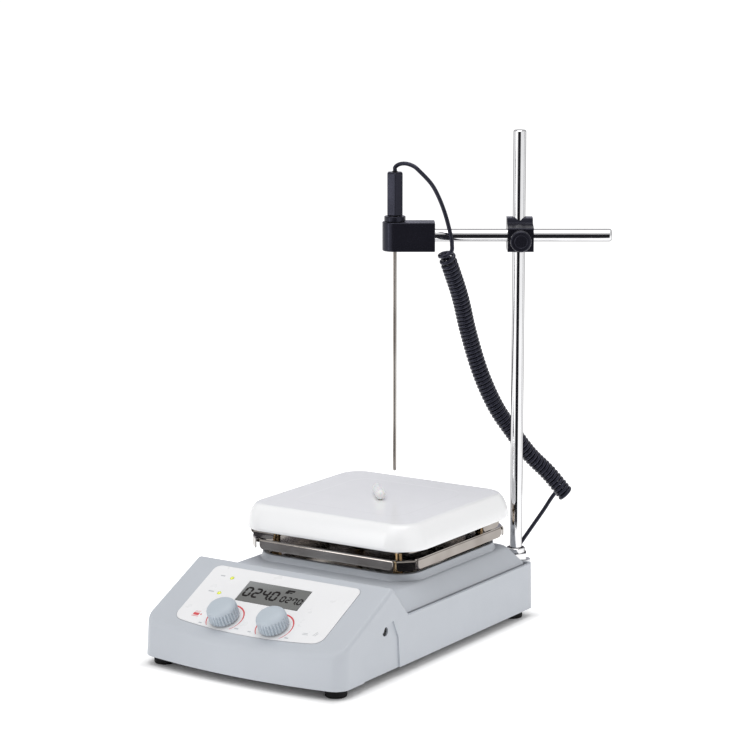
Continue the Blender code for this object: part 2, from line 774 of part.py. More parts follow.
def post_places():
    return [(x, PLATE_Y + y) for x in (-POST_X, POST_X) for y in (-POST_Y, POST_Y)]


def build_shields(frame):
    lower = build_shield("lower_shield", 0.0762, 0.012, LOWER_SHIELD_Z, frame)
    for side in range(4):
        name = f"lower_flap_{side}"
        flap(name, lower, frame, (-0.062, 0.062), (0.0693, 0.0770), side, 0.0764, 0.003)
    upper = build_shield("upper_shield", 0.0758, 0.012, UPPER_SHIELD_Z, frame)
    ears = ((0, -0.0682, -0.0486), (1, 0.0343, 0.0588), (2, -0.0588, -0.0343), (3, 0.0486, 0.0682))
    for side, first, last in ears:
        name = f"upper_ear_{side}"
        flap(name, upper, frame, (first, last), (0.0776, 0.0838), side, 0.0762, 0.002)
    foot, shoulder, top = 0.0603, 0.0763, 0.0983
    profile = ((0, foot), (0.0040, foot), (0.0040, shoulder), (0.0030, shoulder), (0.0030, top), (0, top))
    for i, (x, y) in enumerate(post_places()):
        solid(f"post_{i}", turned(profile, 16), "brass", frame, (x, y, 0))


def build_stir_bar(spinner):
    """A PTFE capsule with a magnet inside, lying on the plate."""
    half = BAR_LENGTH / 2 - BAR_RADIUS
    profile = [(0, -half - BAR_RADIUS)]
    for end in (-1, 1):
        for k in range(1, 6):
            angle = math.pi / 2 * (k if end < 0 else 6 - k) / 6
            profile.append((BAR_RADIUS * math.sin(angle), end * (half + BAR_RADIUS * math.cos(angle))))
        middle = (BAR_RADIUS, end * half)
        profile.insert(len(profile) if end < 0 else len(profile) - 5, middle)
    profile.append((0, half + BAR_RADIUS))
    height = PLATE_TOP - DISH_DEPTH + GAP + BAR_RADIUS
    solid("stir_bar", turned(profile, 14), "ptfe", spinner, (0, 0, height), (0, math.pi / 2, 0))


# ---------------------------------------------------------------- rear wall


def wall_box(x, half, depths, heights):
    """A block on the rear wall: its middle and half width across, and its reach in front of and behind
    the wall's face."""
    low = (x - half, BODY_DEPTH + depths[0], heights[0])
    high = (x + half, BODY_DEPTH + depths[1], heights[1])
    return box(low, high)


def build_rear_panel(frame):
    middle = (PANEL_X[0] + PANEL_X[1]) / 2
    half = (PANEL_X[1] - PANEL_X[0]) / 2
    sheet = wall_box(middle, half, (-0.0028, -GAP), PANEL_Z)
    panel = solid("rear_panel", sheet, "component", frame)
    through = (-0.01, 0.01)
    cut(panel, helper("inlet_hole", wall_box(INLET_X, 0.0140, through, (0.0119, 0.0401)), frame))
    cut(panel, helper("switch_hole", wall_box(SWITCH_X, 0.0065, through, (0.0165, 0.0355)), frame))
    place = (SOCKET_X, BODY_DEPTH, SOCKET_Z)
    cut(panel, helper("socket_hole", rod(0.0063, -0.01, 0.01), frame, place, (math.pi / 2, 0, 0)))


def build_inlet(frame):
    """A fused mains inlet: a socket with three pins above a drawer for the fuse."""
    x, socket_z = INLET_X, 0.0300
    body = wall_box(x, 0.0137, (-0.0270, 0.0005), (0.0122, 0.0398))
    inlet = solid("iec_inlet", body, "black_plastic", frame)
    flange = wall_box(x, 0.0170, (0, 0.0022), (0.0108, 0.0412))
    unite(inlet, helper("inlet_flange", flange, frame))
    corners = [(-0.0110, 0.0070), (-0.0110, -0.0065), (0.0110, -0.0065), (0.0110, 0.0070)]
    outline = fillet(corners, [0.003, 0.001, 0.001, 0.003], 2)
    rings = []
    for depth in (-0.0170, 0.0040):
        rings.append([(x + u, BODY_DEPTH + depth, socket_z + v) for u, v in outline])
    cut(inlet, helper("inlet_well", loft(rings), frame))
    for i, (u, v) in enumerate(((-0.0070, -0.0015), (0.0, 0.0020), (0.0070, -0.0015))):
        heights = (socket_z + v - 0.0020, socket_z + v + 0.0020)
        pin = wall_box(x + u, 0.0010, (-0.0190, -0.0030), heights)
        unite(inlet, helper(f"inlet_pin_{i}", pin, frame))
    bay = wall_box(x, 0.0103, (-0.0230, 0.0040), (0.0136, 0.0194))
    cut(inlet, helper("drawer_bay", bay, frame))
    tray = wall_box(x, 0.0100, (-0.0220, 0.0030), (0.0139, 0.0191))
    drawer = solid("fuse_drawer", tray, "black_plastic", frame)
    bed = wall_box(x, 0.0030, (-0.0210, -0.0010), (0.0155, 0.0200))
    cut(drawer, helper("fuse_bed", bed, frame))


def build_switch(frame, pivot):
    body = wall_box(SWITCH_X, 0.0062, (-0.0150, 0.0005), (0.0168, 0.0352))
    shell = solid("switch_frame", body, "black_plastic", frame)
    bezel = wall_box(SWITCH_X, 0.0078, (0, 0.0018), (0.0150, 0.0370))
    unite(shell, helper("switch_bezel", bezel, frame))
    well = wall_box(SWITCH_X, 0.0052, (-0.0120, 0.0040), (0.0178, 0.0342))
    cut(shell, helper("switch_well", well, frame))
    profile = ((-0.0050, -0.0067), (0.0022, -0.0072), (0.0034, 0.0), (0.0006, 0.0072), (-0.0050, 0.0060))
    rocker = solid("power_rocker", side_slab(profile, -0.0047, 0.0047), "component", pivot)
    bevel(rocker, 0.0004, 1)


def build_sensor_socket(frame):
    """The probe's socket in the rear wall and the plug in it, their axis along Y."""
    socket = (
        (0, -0.0130),
        (0.0060, -0.0130),
        (0.0060, 0.0003),
        (0.0080, 0.0003),
        (0.0080, 0.0017),
        (0.0074, 0.0022),
        (0.0042, 0.0022),
        (0.0042, -0.0080),
        (0, -0.0080),
    )
    plug = (
        (0, -0.0077),
        (0.0038, -0.0077),
        (0.0038, 0.0025),
        (0.0050, 0.0025),
        (0.0052, 0.0035),
        (0.0052, 0.0145),
        (0.0046, 0.0158),
        (0.0030, 0.0165),
        (0.0022, 0.0256),
        (0, 0.0256),
    )
    place = (SOCKET_X, BODY_DEPTH, SOCKET_Z)
    backwards = (-math.pi / 2, 0, 0)
    solid("sensor_socket", turned(socket), "black_plastic", frame, place, backwards)
    solid("sensor_plug", turned(plug), "black_plastic", frame, place, backwards)


# ---------------------------------------------------------------- stand


def build_rod_bracket(frame):
    low = (UPRIGHT_X - 0.011, BODY_DEPTH + GAP, 0.0240)
    high = (UPRIGHT_X + 0.011, BODY_DEPTH + 0.0185, 0.0425)
    bracket = solid("rod_bracket", box(low, high), "aluminium", frame)
    bevel(bracket, 0.0015, 2)
    cut(bracket, helper("bracket_bore", rod(BORE_RADIUS, 0.0, 0.1), frame, (UPRIGHT_X, UPRIGHT_Y, 0)))
    place = (UPRIGHT_X, UPRIGHT_Y, 0)
    lock_nut = solid("lock_nut", rod(0.0098, 0.0428, 0.0478, steps=6), "chrome", frame, place)
    unite(lock_nut, helper("nut_collar", rod(0.0075, 0.0470, 0.0520, 0.0005), frame, place))
    cut(lock_nut, helper("nut_bore", rod(BORE_RADIUS, 0.0, 0.1), frame, place))


def build_stand(stand):
    """The upright and, along the arm's direction, the clamps, the arm and the probe: x along the arm."""
    chamfer = 0.0008
    solid("upright_rod", rod(ROD_RADIUS, 0.0180, UPRIGHT_TOP, chamfer), "chrome", stand)
    profile = (
        (-0.0195, 0.2965),
        (-0.0195, 0.3155),
        (-0.0060, 0.3180),
        (-0.0045, 0.3220),
        (0.0090, 0.3220),
        (0.0090, 0.2965),
    )
    boss = solid("boss_head", side_slab(profile, -0.0098, 0.0108), "black_plastic", stand)
    bevel(boss, 0.0016, 2)
    along = (0, math.pi / 2, 0)
    cut(boss, helper("upright_bore", rod(BORE_RADIUS, 0.28, 0.34), stand))
    cut(boss, helper("arm_bore", rod(BORE_RADIUS, -0.03, 0.03), stand, (0, -ARM_OFFSET, ARM_Z), along))
    to_front = (math.pi / 2, 0, 0)
    cut(boss, helper("knob_bore", rod(0.0028, 0.012, 0.030), stand, (0, 0, CLAMP_KNOB_Z), to_front))
    knob = (
        (0, 0.0166),
        (0.0025, 0.0166),
        (0.0025, 0.0200),
        (0.0060, 0.0200),
        (0.0070, 0.0215),
        (0.0085, 0.0225),
        (0.0085, 0.0305),
        (0.0076, 0.0318),
        (0, 0.0320),
    )
    solid("boss_knob", turned(knob, 24), "black_plastic", stand, (0, 0, CLAMP_KNOB_Z), to_front)
    arm = (
        (0, ARM_INNER_END),
        (ROD_RADIUS, ARM_INNER_END),
        (ROD_RADIUS, ARM_END - 0.0015),
        (0.0040, ARM_END - 0.0004),
        (0.0025, ARM_END),
        (0, ARM_END),
    )
    solid("cross_rod", turned(arm), "chrome", stand, (0, -ARM_OFFSET, ARM_Z), along)


def build_probe(stand):
    low, high = HOLDER_Z
    left = PROBE_S
    outline = [(HOLDER_INNER_END, -HOLDER_HALF), (HOLDER_INNER_END, HOLDER_HALF)]
    for k in range(13):
        angle = math.pi / 2 + math.pi * k / 12
        outline.append((left + HOLDER_HALF * math.cos(angle), HOLDER_HALF * math.sin(angle)))
    shape = slab([(x, y - ARM_OFFSET) for x, y in outline], low, high)
    holder = solid("probe_holder", shape, "black_plastic", stand)
    bevel(holder, 0.0012, 2)
    along = (0, math.pi / 2, 0)
    bore = rod(BORE_RADIUS, ARM_INNER_END - GAP, 0.0)
    cut(holder, helper("holder_bore", bore, stand, (0, -ARM_OFFSET, ARM_Z), along))
    axis = (left, -ARM_OFFSET, 0)
    cut(holder, helper("probe_bore", rod(0.0019, 0.28, 0.33, steps=16), stand, axis))
    collar = (
        (0.0018, high + GAP),
        (0.0081, high + GAP),
        (0.0085, high + 0.0008),
        (0.0085, high + 0.0040),
        (0.0080, high + 0.0045),
        (0.0018, high + 0.0045),
    )
    solid("probe_collar", turned(collar, 20), "black_plastic", stand, axis)
    bottom = high + 0.0048
    handle = (
        (0, bottom + 0.0100),
        (0.0018, bottom + 0.0100),
        (0.0018, bottom),
        (HANDLE_RADIUS - 0.0006, bottom),
        (HANDLE_RADIUS, bottom + 0.0006),
        (HANDLE_RADIUS, HANDLE_TOP - 0.0016),
        (HANDLE_RADIUS - 0.0007, HANDLE_TOP - 0.0004),
        (HANDLE_RADIUS - 0.0016, HANDLE_TOP),
        (0, HANDLE_TOP),
    )
    solid("probe_handle", turned(handle, 6), "black_plastic", stand, axis, (0, 0, math.pi / 6))
    stem = (
        (0, PROBE_TIP),
        (0.0008, PROBE_TIP + 0.0002),
        (0.0015, PROBE_TIP + 0.0012),
        (0.0015, bottom + 0.0097),
        (0, bottom + 0.0097),
    )
    solid("probe_stem", turned(stem, 16), "stainless", stand, axis)


def build_cords(frame):
    tube("cord_lead", LEAD_ROUTE, CORD_RADIUS, 0.004, "cable", frame)
    tube("cord_coil", COIL_ROUTE, COIL_RADIUS, 0.012, "cable", frame, 3)
    tube("cord_tail", TAIL_ROUTE, CORD_RADIUS, 0.004, "cable", frame)


def main():
    clear_scene()
    frame = empty("stirrer", LAYOUT_ORIGIN)
    console = empty("console_plane", (0, APEX_Y, APEX_Z), (math.atan(CONSOLE_SLOPE), 0, 0), frame)
    rotor = empty("rotor_axis", (0, PLATE_Y, 0), (0, 0, BAR_ANGLE), frame)
    pivot = empty("rocker_axis", (SWITCH_X, BODY_DEPTH, 0.0260), (0, 0, 0), frame)
    stand = empty("stand_axis", (UPRIGHT_X, UPRIGHT_Y, 0), (0, 0, ARM_ANGLE), frame)
    build_housing(frame, console)
    build_cover(frame)
    build_base(frame)
    build_console(console)
    build_limit_screw(frame)
    build_power_board(frame)
    build_motor(frame, rotor)
    build_hotplate(frame)
    build_shields(frame)
    build_stir_bar(rotor)
    build_rear_panel(frame)
    build_inlet(frame)
    build_switch(frame, pivot)
    build_sensor_socket(frame)
    build_rod_bracket(frame)
    build_stand(stand)
    build_probe(stand)
    build_cords(frame)


main()
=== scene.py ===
"""The looks of a magnetic stirrer with its support stand and temperature probe.

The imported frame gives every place. The shapes below follow the frame's own, with finer curves, softened
edges and prints. They are made in a layout frame: x from the housing's middle plane, y backwards from its
front edge, z up from the floor. The console, the rotor and the stand have frames of their own in it.
"""

import json
import math

import bmesh
import bpy
from mathutils import Matrix, Vector


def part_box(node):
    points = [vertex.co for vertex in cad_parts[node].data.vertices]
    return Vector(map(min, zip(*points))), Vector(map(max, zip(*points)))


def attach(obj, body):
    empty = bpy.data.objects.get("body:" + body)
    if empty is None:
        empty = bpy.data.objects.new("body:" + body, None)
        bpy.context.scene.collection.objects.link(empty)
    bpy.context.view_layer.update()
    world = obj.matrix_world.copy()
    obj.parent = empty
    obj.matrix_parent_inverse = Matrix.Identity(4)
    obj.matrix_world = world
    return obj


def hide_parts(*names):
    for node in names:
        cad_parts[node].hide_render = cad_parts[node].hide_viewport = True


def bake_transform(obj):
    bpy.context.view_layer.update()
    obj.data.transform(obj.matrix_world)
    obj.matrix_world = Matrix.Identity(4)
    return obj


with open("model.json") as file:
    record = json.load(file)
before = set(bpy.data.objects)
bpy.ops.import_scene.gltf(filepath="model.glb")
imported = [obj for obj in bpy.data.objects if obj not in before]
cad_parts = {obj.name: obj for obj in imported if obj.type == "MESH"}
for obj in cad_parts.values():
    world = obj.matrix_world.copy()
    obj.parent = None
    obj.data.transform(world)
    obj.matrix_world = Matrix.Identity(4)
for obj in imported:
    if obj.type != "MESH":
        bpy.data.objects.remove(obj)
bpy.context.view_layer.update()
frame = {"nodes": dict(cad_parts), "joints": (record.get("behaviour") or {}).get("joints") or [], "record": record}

GAP = 0.0003
WALL = 0.0025
PRINT = 0.00004

# Housing
FRONT_Y = 0.002
FRONT_BOW = 0.0092
FRONT_CORNER = 0.0095
REAR_CORNER = 0.006
SIDE_DRAFT = 0.2
FRONT_SLOPE = 0.064
RIDGE_RADIUS = 0.008
APEX_RADIUS = 0.003
EDGE_RADIUS = 0.003
APEX_Y = 0.0819
APEX_Z = 0.0696
SEAM_Z = 0.0442
CONSOLE_SLOPE = 0.5
REAR_SLOPE = 1.166
RECESS_DEPTH = 0.0012
LEDGE_Y = 0.106
DECK_Z = 0.060

# Console, in its own plane: u across, v up the slope, w out of it
OVERLAY_DEPTH = 0.0005
OVERLAY_HALF = 0.0672
OVERLAY_TOP = -0.0075
OVERLAY_LOW = -0.0760
OVERLAY_BOW = 0.0055
LCD_HALF = (0.02875, 0.01145)
LCD_V = -0.03035
KNOB_U = (-0.0240, 0.0213)
KNOB_V = -0.0623
KNOB_RADIUS = 0.01190
KNOB_BOTTOM = 0.0015
KNOB_TOP = 0.0144
FLUTE_DEPTH = 0.0011
FLUTES = 28
ARC_RADIUS = 0.0148
LED_PLACES = {"led_heat": (-0.0454, -0.0193), "led_stir": (-0.0459, -0.0373)}

# Printed bars: u, v, width, height and lean
RED_BARS = (
    (-0.0503, -0.0632, 0.0052, 0.0026),
    (-0.0503, -0.0655, 0.0062, 0.0005),
    (-0.0460, -0.0629, 0.0012, 0.0012),
)
GREY_BARS = (
    (-0.0545, -0.0185, 0.0040, 0.0012),
    (-0.0537, -0.0369, 0.0050, 0.0012),
    (0.0496, -0.0627, 0.0040, 0.0006),
    (0.0496, -0.0640, 0.0052, 0.0006),
    (0.0574, -0.0615, 0.0006, 0.0044, 0.4),
    (0.0588, -0.0621, 0.0006, 0.0032, 0.4),
)
UNIT_BARS = (
    (0.0035, 0.0128, 0.0066, 0.0018),
    (0.0010, 0.0108, 0.0030, 0.0026),
    (0.0042, 0.0108, 0.0026, 0.0011),
)

# Hotplate, shields and stand: a tab is its side of the square and its two ends
PLATE_CORNER = 0.0255
DISH_HALF = 0.050
DISH_DEPTH = 0.0001
SHEET = 0.0008
LOWER_TABS = [(side, -0.062, 0.062) for side in range(4)]
LOWER_CORNER = 0.0185
CORNER_TAB_HALF = 0.0074
UPPER_EARS = [(0, -0.0682, -0.0486), (1, 0.0343, 0.0588), (2, -0.0588, -0.0343), (3, 0.0486, 0.0682)]
ROD_RADIUS = 0.005
BORE_RADIUS = 0.0053
ARM_OFFSET = 0.011
HOLDER_ROUND = 0.0100
HANDLE_RADIUS = 0.0070

# Rear wall
FITTINGS_Z = 0.0260
PINS_Z = 0.0300

# Lead of the probe
CORD_RADIUS = 0.00165
CORD_SPACING = 0.0012
HELIX_RADIUS = 0.00535
TURN_STEPS = 20
TURN_PITCH = 0.0035
LOOSE_PITCH = 0.0062
LOOSE_LENGTH = 0.016
LEAD_BREAK_X = 0.016
COIL_BREAKS = (0.246, 0.150)
LEAD_ROUTE = (
    (-0.0081, 0.2355, 0.3602),
    (-0.0080, 0.2356, 0.3632),
    (-0.0042, 0.2367, 0.3657),
    (0.0012, 0.2380, 0.3661),
    (0.0070, 0.2391, 0.3643),
    (0.0115, 0.2399, 0.3610),
    (0.0216, 0.2418, 0.3512),
    (0.0288, 0.2417, 0.3408),
    (0.0345, 0.2418, 0.3285),
    (0.0386, 0.2421, 0.3155),
    (0.0405, 0.2426, 0.3060),
    (0.0400, 0.2431, 0.2995),
)
COIL_ROUTE = (
    (0.0343, 0.2435, 0.2980),
    (0.0344, 0.2465, 0.2915),
    (0.0356, 0.2628, 0.2611),
    (0.0354, 0.2771, 0.2288),
    (0.0395, 0.2893, 0.1951),
    (0.0462, 0.3021, 0.1661),
    (0.0546, 0.3135, 0.1454),
    (0.0649, 0.3251, 0.1247),
    (0.0767, 0.3376, 0.1072),
    (0.0891, 0.3457, 0.0890),
)
TAIL_ROUTE = (
    (0.0805, 0.3483, 0.0914),
    (0.0785, 0.3494, 0.0903),
    (0.0762, 0.3495, 0.0879),
    (0.0735, 0.3475, 0.0833),
    (0.0694, 0.3430, 0.0742),
    (0.0638, 0.3375, 0.0632),
    (0.0585, 0.3310, 0.0521),
    (0.0533, 0.3263, 0.0420),
    (0.0476, 0.3250, 0.0334),
    (0.0428, 0.3244, 0.0288),
    (0.0402, 0.3212, 0.0264),
    (0.0400, 0.3158, 0.0260),
)

# Camera
VIEW_TURN = math.radians(33.21)
VIEW_RISE = math.radians(10.38)
VIEW_DISTANCE = 1.9589
VIEW_LENS = 123.57
VIEW_SIDE = 0.04064
VIEW_Y = 0.120
VIEW_HEIGHT = 0.21486

# Light
STUDIO_AIM = (0.0, 0.0, 0.15)
AMBIENT = 0.55
MIRRORED = 0.80
FLOOR_GLOW = 0.56
FLOOR_RADIUS = 14.0
CARD_LIFT = 0.001
BLUISH = (0.72, 0.74, 1.0, 1)


# ---------------------------------------------------------------- frames

def middle(node):
    low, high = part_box(node)
    return (low + high) / 2


def joint_direction(name):
    found = next(joint for joint in frame["joints"] if joint["name"] == name)
    return Vector(found["axis"])


housing_low, housing_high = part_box("main_housing")
BODY_HALF = (housing_high.x - housing_low.x) / 2
BODY_DEPTH = housing_high.y - housing_low.y + FRONT_Y
BASE_Z = housing_low.z
LAYOUT = Matrix.Translation((middle("main_housing").x, housing_low.y - FRONT_Y, 0))
TO_LAYOUT = LAYOUT.inverted()


def layout_box(node):
    low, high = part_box(node)
    return TO_LAYOUT @ low, TO_LAYOUT @ high


def stand_box(node):
    """A node's extent along and across the arm, from its corners in the stand's frame."""
    mesh = frame["nodes"][node].data
    points = [STAND.inverted() @ vertex.co for vertex in mesh.vertices]
    low = Vector(min(point[axis] for point in points) for axis in range(3))
    high = Vector(max(point[axis] for point in points) for axis in range(3))
    return low, high


plate_low, plate_high = layout_box("hotplate")
PLATE_Y = (plate_low.y + plate_high.y) / 2
PLATE_TOP = plate_high.z
SKIRT_Z = plate_low.z
rod_low, rod_high = layout_box("upright_rod")
UPRIGHT_X = (rod_low.x + rod_high.x) / 2
UPRIGHT_Y = (rod_low.y + rod_high.y) / 2
arm_direction = joint_direction("arm_slide")
ARM_ANGLE = math.atan2(arm_direction.y, arm_direction.x)
console_tilt = Matrix.Rotation(math.atan(CONSOLE_SLOPE), 4, "X")
CONSOLE = LAYOUT @ Matrix.Translation((0, APEX_Y, APEX_Z)) @ console_tilt
STAND = LAYOUT @ Matrix.Translation((UPRIGHT_X, UPRIGHT_Y, 0)) @ Matrix.Rotation(ARM_ANGLE, 4, "Z")
PLATE = LAYOUT @ Matrix.Translation((0, PLATE_Y, 0))
arm_low, arm_high = stand_box("cross_rod")
ARM_Z = (arm_low.z + arm_high.z) / 2
ARM = STAND @ Matrix.Translation((0, -ARM_OFFSET, ARM_Z)) @ Matrix.Rotation(math.pi / 2, 4, "Y")
holder_low, holder_high = stand_box("probe_holder")
PROBE_S = holder_low.x + HOLDER_ROUND
PROBE = STAND @ Matrix.Translation((PROBE_S, -ARM_OFFSET, 0))


def turned_to(place, axis):
    """A matrix at a layout point whose z runs along x, or along y backwards."""
    turns = {"x": (math.pi / 2, "Y"), "y": (-math.pi / 2, "X")}
    angle, about = turns[axis]
    return LAYOUT @ Matrix.Translation(place) @ Matrix.Rotation(angle, 4, about)


# ---------------------------------------------------------------- camera and light

def linked(name, data):
    made = bpy.data.objects.new(name, data)
    bpy.context.scene.collection.objects.link(made)
    return made


def aimed(made, azimuth, elevation, distance, aim):
    """Puts a camera, a light or a card at an azimuth and elevation from its aim, facing it."""
    level = math.cos(elevation)
    back = Vector((math.sin(azimuth) * level, -math.cos(azimuth) * level, math.sin(elevation)))
    made.location = Vector(aim) + back * distance
    made.rotation_mode = "QUATERNION"
    made.rotation_quaternion = (-back).to_track_quat("-Z", "Y")
    return made


def build_camera():
    right = Vector((math.cos(VIEW_TURN), math.sin(VIEW_TURN), 0))
    aim = LAYOUT @ (Vector((0, VIEW_Y, VIEW_HEIGHT)) + right * VIEW_SIDE)
    data = bpy.data.cameras.new("camera")
    data.lens = VIEW_LENS
    data.sensor_width = 36.0
    data.clip_end = 50.0
    camera = aimed(linked("camera", data), VIEW_TURN, VIEW_RISE, VIEW_DISTANCE, aim)
    bpy.context.scene.camera = camera


def softbox(name, direction, distance, size, power):
    data = bpy.data.lights.new(name, "AREA")
    data.shape = "RECTANGLE"
    data.size, data.size_y = size
    data.energy = power
    return aimed(linked(name, data), *map(math.radians, direction), distance, STUDIO_AIM)


def card(name, corners, shade):
    """A four-sided card of a plain grey, from its corners row by row."""
    mesh = bpy.data.meshes.new(name)
    mesh.from_pydata(corners, [], [(0, 1, 3, 2)])
    colour = (shade, shade, shade * 1.2, 1)
    look, _, _ = start(name, Base_Color=colour, Roughness=1.0, Specular_IOR_Level=0.0)
    mesh.materials.append(look)
    return linked(name, mesh)


def only_in_mirrors(made):
    made.visible_camera = False
    made.visible_diffuse = False
    made.visible_shadow = False
    made.visible_transmission = False


def dark_card(name, direction, distance, size, aim=None, shade=0.02):
    """A studio flag that only mirrors see."""
    half_x, half_y = size[0] / 2, size[1] / 2
    made = card(name, [(x, y, 0) for y in (-half_y, half_y) for x in (-half_x, half_x)], shade)
    only_in_mirrors(aimed(made, *map(math.radians, direction), distance, aim or STUDIO_AIM))


def floor_card(name, place, near, far, shade=0.02):
    """A dark strip just over the floor: its ends, near and far, each give a distance and two sides."""
    corners = []
    for distance, *sides in (near, far):
        corners += [place @ Vector((side, -distance, CARD_LIFT)) for side in sides]
    only_in_mirrors(card(name, corners, shade))


def floor_look():
    """A white floor that glows evenly but for a painted shade under the housing, where its glow fades out."""
    made, tree, shader = start("floor", Roughness=0.7, Specular_IOR_Level=0.0)
    shader.inputs["Base Color"].default_value = (0.90, 0.90, 0.90, 1)
    shader.inputs["Emission Color"].default_value = (1, 1, 1, 1)
    place = add(tree, "TexCoord").outputs["Object"]
    low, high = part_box("main_housing")
    centre, half = (low + high) / 2, (high - low) / 2
    away = add(tree, "VectorMath", {0: place, 1: centre}, operation="SUBTRACT").outputs["Vector"]
    away = add(tree, "VectorMath", {0: away}, operation="ABSOLUTE").outputs["Vector"]
    away = add(tree, "VectorMath", {0: away, 1: half}, operation="SUBTRACT").outputs["Vector"]
    parts = add(tree, "SeparateXYZ", {"Vector": away}).outputs
    outside = add(tree, "Math", {0: parts["X"], 1: parts["Y"]}, operation="MAXIMUM").outputs["Value"]
    # Painted shade: the floor's glow fades out near the housing's footprint, so the floor is darker there.
    painted_shade_fade = {"Value": outside, "From Min": -0.014, "From Max": 0.020, "To Min": 0.0, "To Max": FLOOR_GLOW}
    glow = add(tree, "MapRange", painted_shade_fade, interpolation_type="SMOOTHSTEP").outputs["Result"]
    tree.links.new(glow, shader.inputs["Emission Strength"])
    return made


def build_stage():
    scene = bpy.context.scene
    scene.view_settings.view_transform = "Standard"
    world = bpy.data.worlds.new("studio")
    world.use_nodes = True
    tree = world.node_tree
    ray = add(tree, "LightPath")
    levels = {"Value": ray.outputs["Is Glossy Ray"], "To Min": AMBIENT, "To Max": MIRRORED}
    lit = add(tree, "MapRange", levels).outputs["Result"]
    seen = {0: ray.outputs["Is Camera Ray"], 1: lit}
    strength = add(tree, "Math", seen, operation="MAXIMUM").outputs["Value"]
    tree.links.new(strength, tree.nodes["Background"].inputs["Strength"])
    tree.nodes["Background"].inputs["Color"].default_value = (1.0, 1.0, 1.0, 1)
    scene.world = world
    floor = bmesh.new()
    bmesh.ops.create_circle(floor, cap_ends=True, radius=FLOOR_RADIUS, segments=96)
    mesh = bpy.data.meshes.new("floor")
    floor.to_mesh(mesh)
    floor.free()
    mesh.materials.append(floor_look())
    linked("floor", mesh)
    rod_foot = STAND.translation
    low_rod = rod_foot + Vector((0, 0, 0.25))
    high_rod = rod_foot + Vector((0, 0, 0.31))
    softbox("key", (-12, 48), 2.2, (1.4, 1.0), 5)
    softbox("top", (20, 84), 2.0, (1.6, 1.6), 19)
    strip = softbox("strip", (-30, 8), 1.5, (0.22, 1.2), 3)
    strip.visible_diffuse = False
    dark_card("flag_right", (121, 0), 0.62, (0.07, 0.9), low_rod)
    dark_card("flag_front", (29, 8), 1.25, (0.9, 0.62), high_rod)
    dark_card("flag_high", (33, 74), 2.6, (3.0, 0.9))
    dark_card("backdrop", (213, 12), 1.7, (2.0, 0.7), shade=0.40)
    toward_view = Matrix.Translation(rod_foot) @ Matrix.Rotation(VIEW_TURN, 4, "Z")
    floor_card("wedge", toward_view, (0.28, -0.20, 0.10), (6.0, -4.1, 1.7))
    floor_card("patch_left", LAYOUT, (0.02, -0.42, -0.10), (0.34, -0.60, -0.16), shade=0.10)


# ---------------------------------------------------------------- finishes

def add(tree, kind, inputs=None, **settings):
    """A shader node with its settings, and its inputs given as values or as sockets to link."""
    made = tree.nodes.new("ShaderNode" + kind)
    for name, value in settings.items():
        setattr(made, name, value)
    for name, value in (inputs or {}).items():
        if isinstance(value, bpy.types.NodeSocket):
            tree.links.new(value, made.inputs[name])
        else:
            made.inputs[name].default_value = value
    return made


def start(name, **sockets):
    """A new material with some of its shader's sockets set: (material, node tree, shader)."""
    made = bpy.data.materials.new(name)
    made.use_nodes = True
    shader = made.node_tree.nodes["Principled BSDF"]
    for socket, value in sockets.items():
        shader.inputs[socket.replace("_", " ")].default_value = value
    return made, made.node_tree, shader


def place_in_metres(tree, stretch=(1, 1, 1)):
    place = add(tree, "TexCoord").outputs["Object"]
    if stretch == (1, 1, 1):
        return place
    return add(tree, "Mapping", {"Vector": place, "Scale": stretch}).outputs["Vector"]


def noise(tree, size, detail=2.0, stretch=(1, 1, 1)):
    """Noise with features of about this size, in metres."""
    inputs = {"Vector": place_in_metres(tree, stretch), "Scale": 1 / size, "Detail": detail}
    return add(tree, "TexNoise", inputs).outputs["Fac"]


def spread(tree, source, low, high, start_at=0.3, end_at=0.7):
    """A noise's middle values, spread from low to high."""
    inputs = {"Value": source, "From Min": start_at, "From Max": end_at, "To Min": low, "To Max": high}
    return add(tree, "MapRange", inputs).outputs["Result"]


def opaque(colour):
    return colour if isinstance(colour, bpy.types.NodeSocket) else (*colour, 1)


def mixed(tree, factor, first, second):
    inputs = {0: factor, 6: opaque(first), 7: opaque(second)}
    return add(tree, "Mix", inputs, data_type="RGBA").outputs[2]


def bump(tree, source, depth, under=None):
    """A bump of this depth in metres."""
    inputs = {"Height": source, "Distance": depth, "Strength": 1.0}
    if under is not None:
        inputs["Normal"] = under
    return add(tree, "Bump", inputs).outputs["Normal"]


def shade(colour, amount):
    return tuple(min(1.0, part * amount) for part in colour)


def finish(tree, shader, colour, roughness, normal=None):
    for socket, source in (("Base Color", colour), ("Roughness", roughness), ("Normal", normal)):
        if source is not None:
            tree.links.new(source, shader.inputs[socket])


def moulded(name, colour, rough, grain=0.00045, depth=0.000012, mottle=0.03, **sockets):
    """Moulded plastic: fine spark-eroded grain, faint mottling and handled, smoother patches."""
    made, tree, shader = start(name, **sockets)
    patches = noise(tree, 0.030, 3.0)
    tone = mixed(tree, spread(tree, patches, 0, 1), shade(colour, 1 - mottle), shade(colour, 1 + mottle))
    wear = spread(tree, noise(tree, 0.011, 4.0), rough[0], rough[1])
    surface = bump(tree, noise(tree, grain, 3.0), depth)
    finish(tree, shader, tone, wear, bump(tree, patches, 0.00008, surface))
    return made


def metal(name, colour, rough, stretch=(1, 1, 1), line=0.0004, depth=0.000002):
    """Metal with fine drawn lines along the axis that stretch makes long, and smudges in its gloss."""
    made, tree, shader = start(name, Metallic=1.0)
    smudges = noise(tree, 0.020, 4.0)
    tone = mixed(tree, spread(tree, smudges, 0, 1), shade(colour, 0.95), shade(colour, 1.05))
    lines = noise(tree, line, 2.0, stretch)
    gloss = spread(tree, smudges, rough[0], rough[1])
    finish(tree, shader, tone, gloss, bump(tree, lines, depth))
    return made


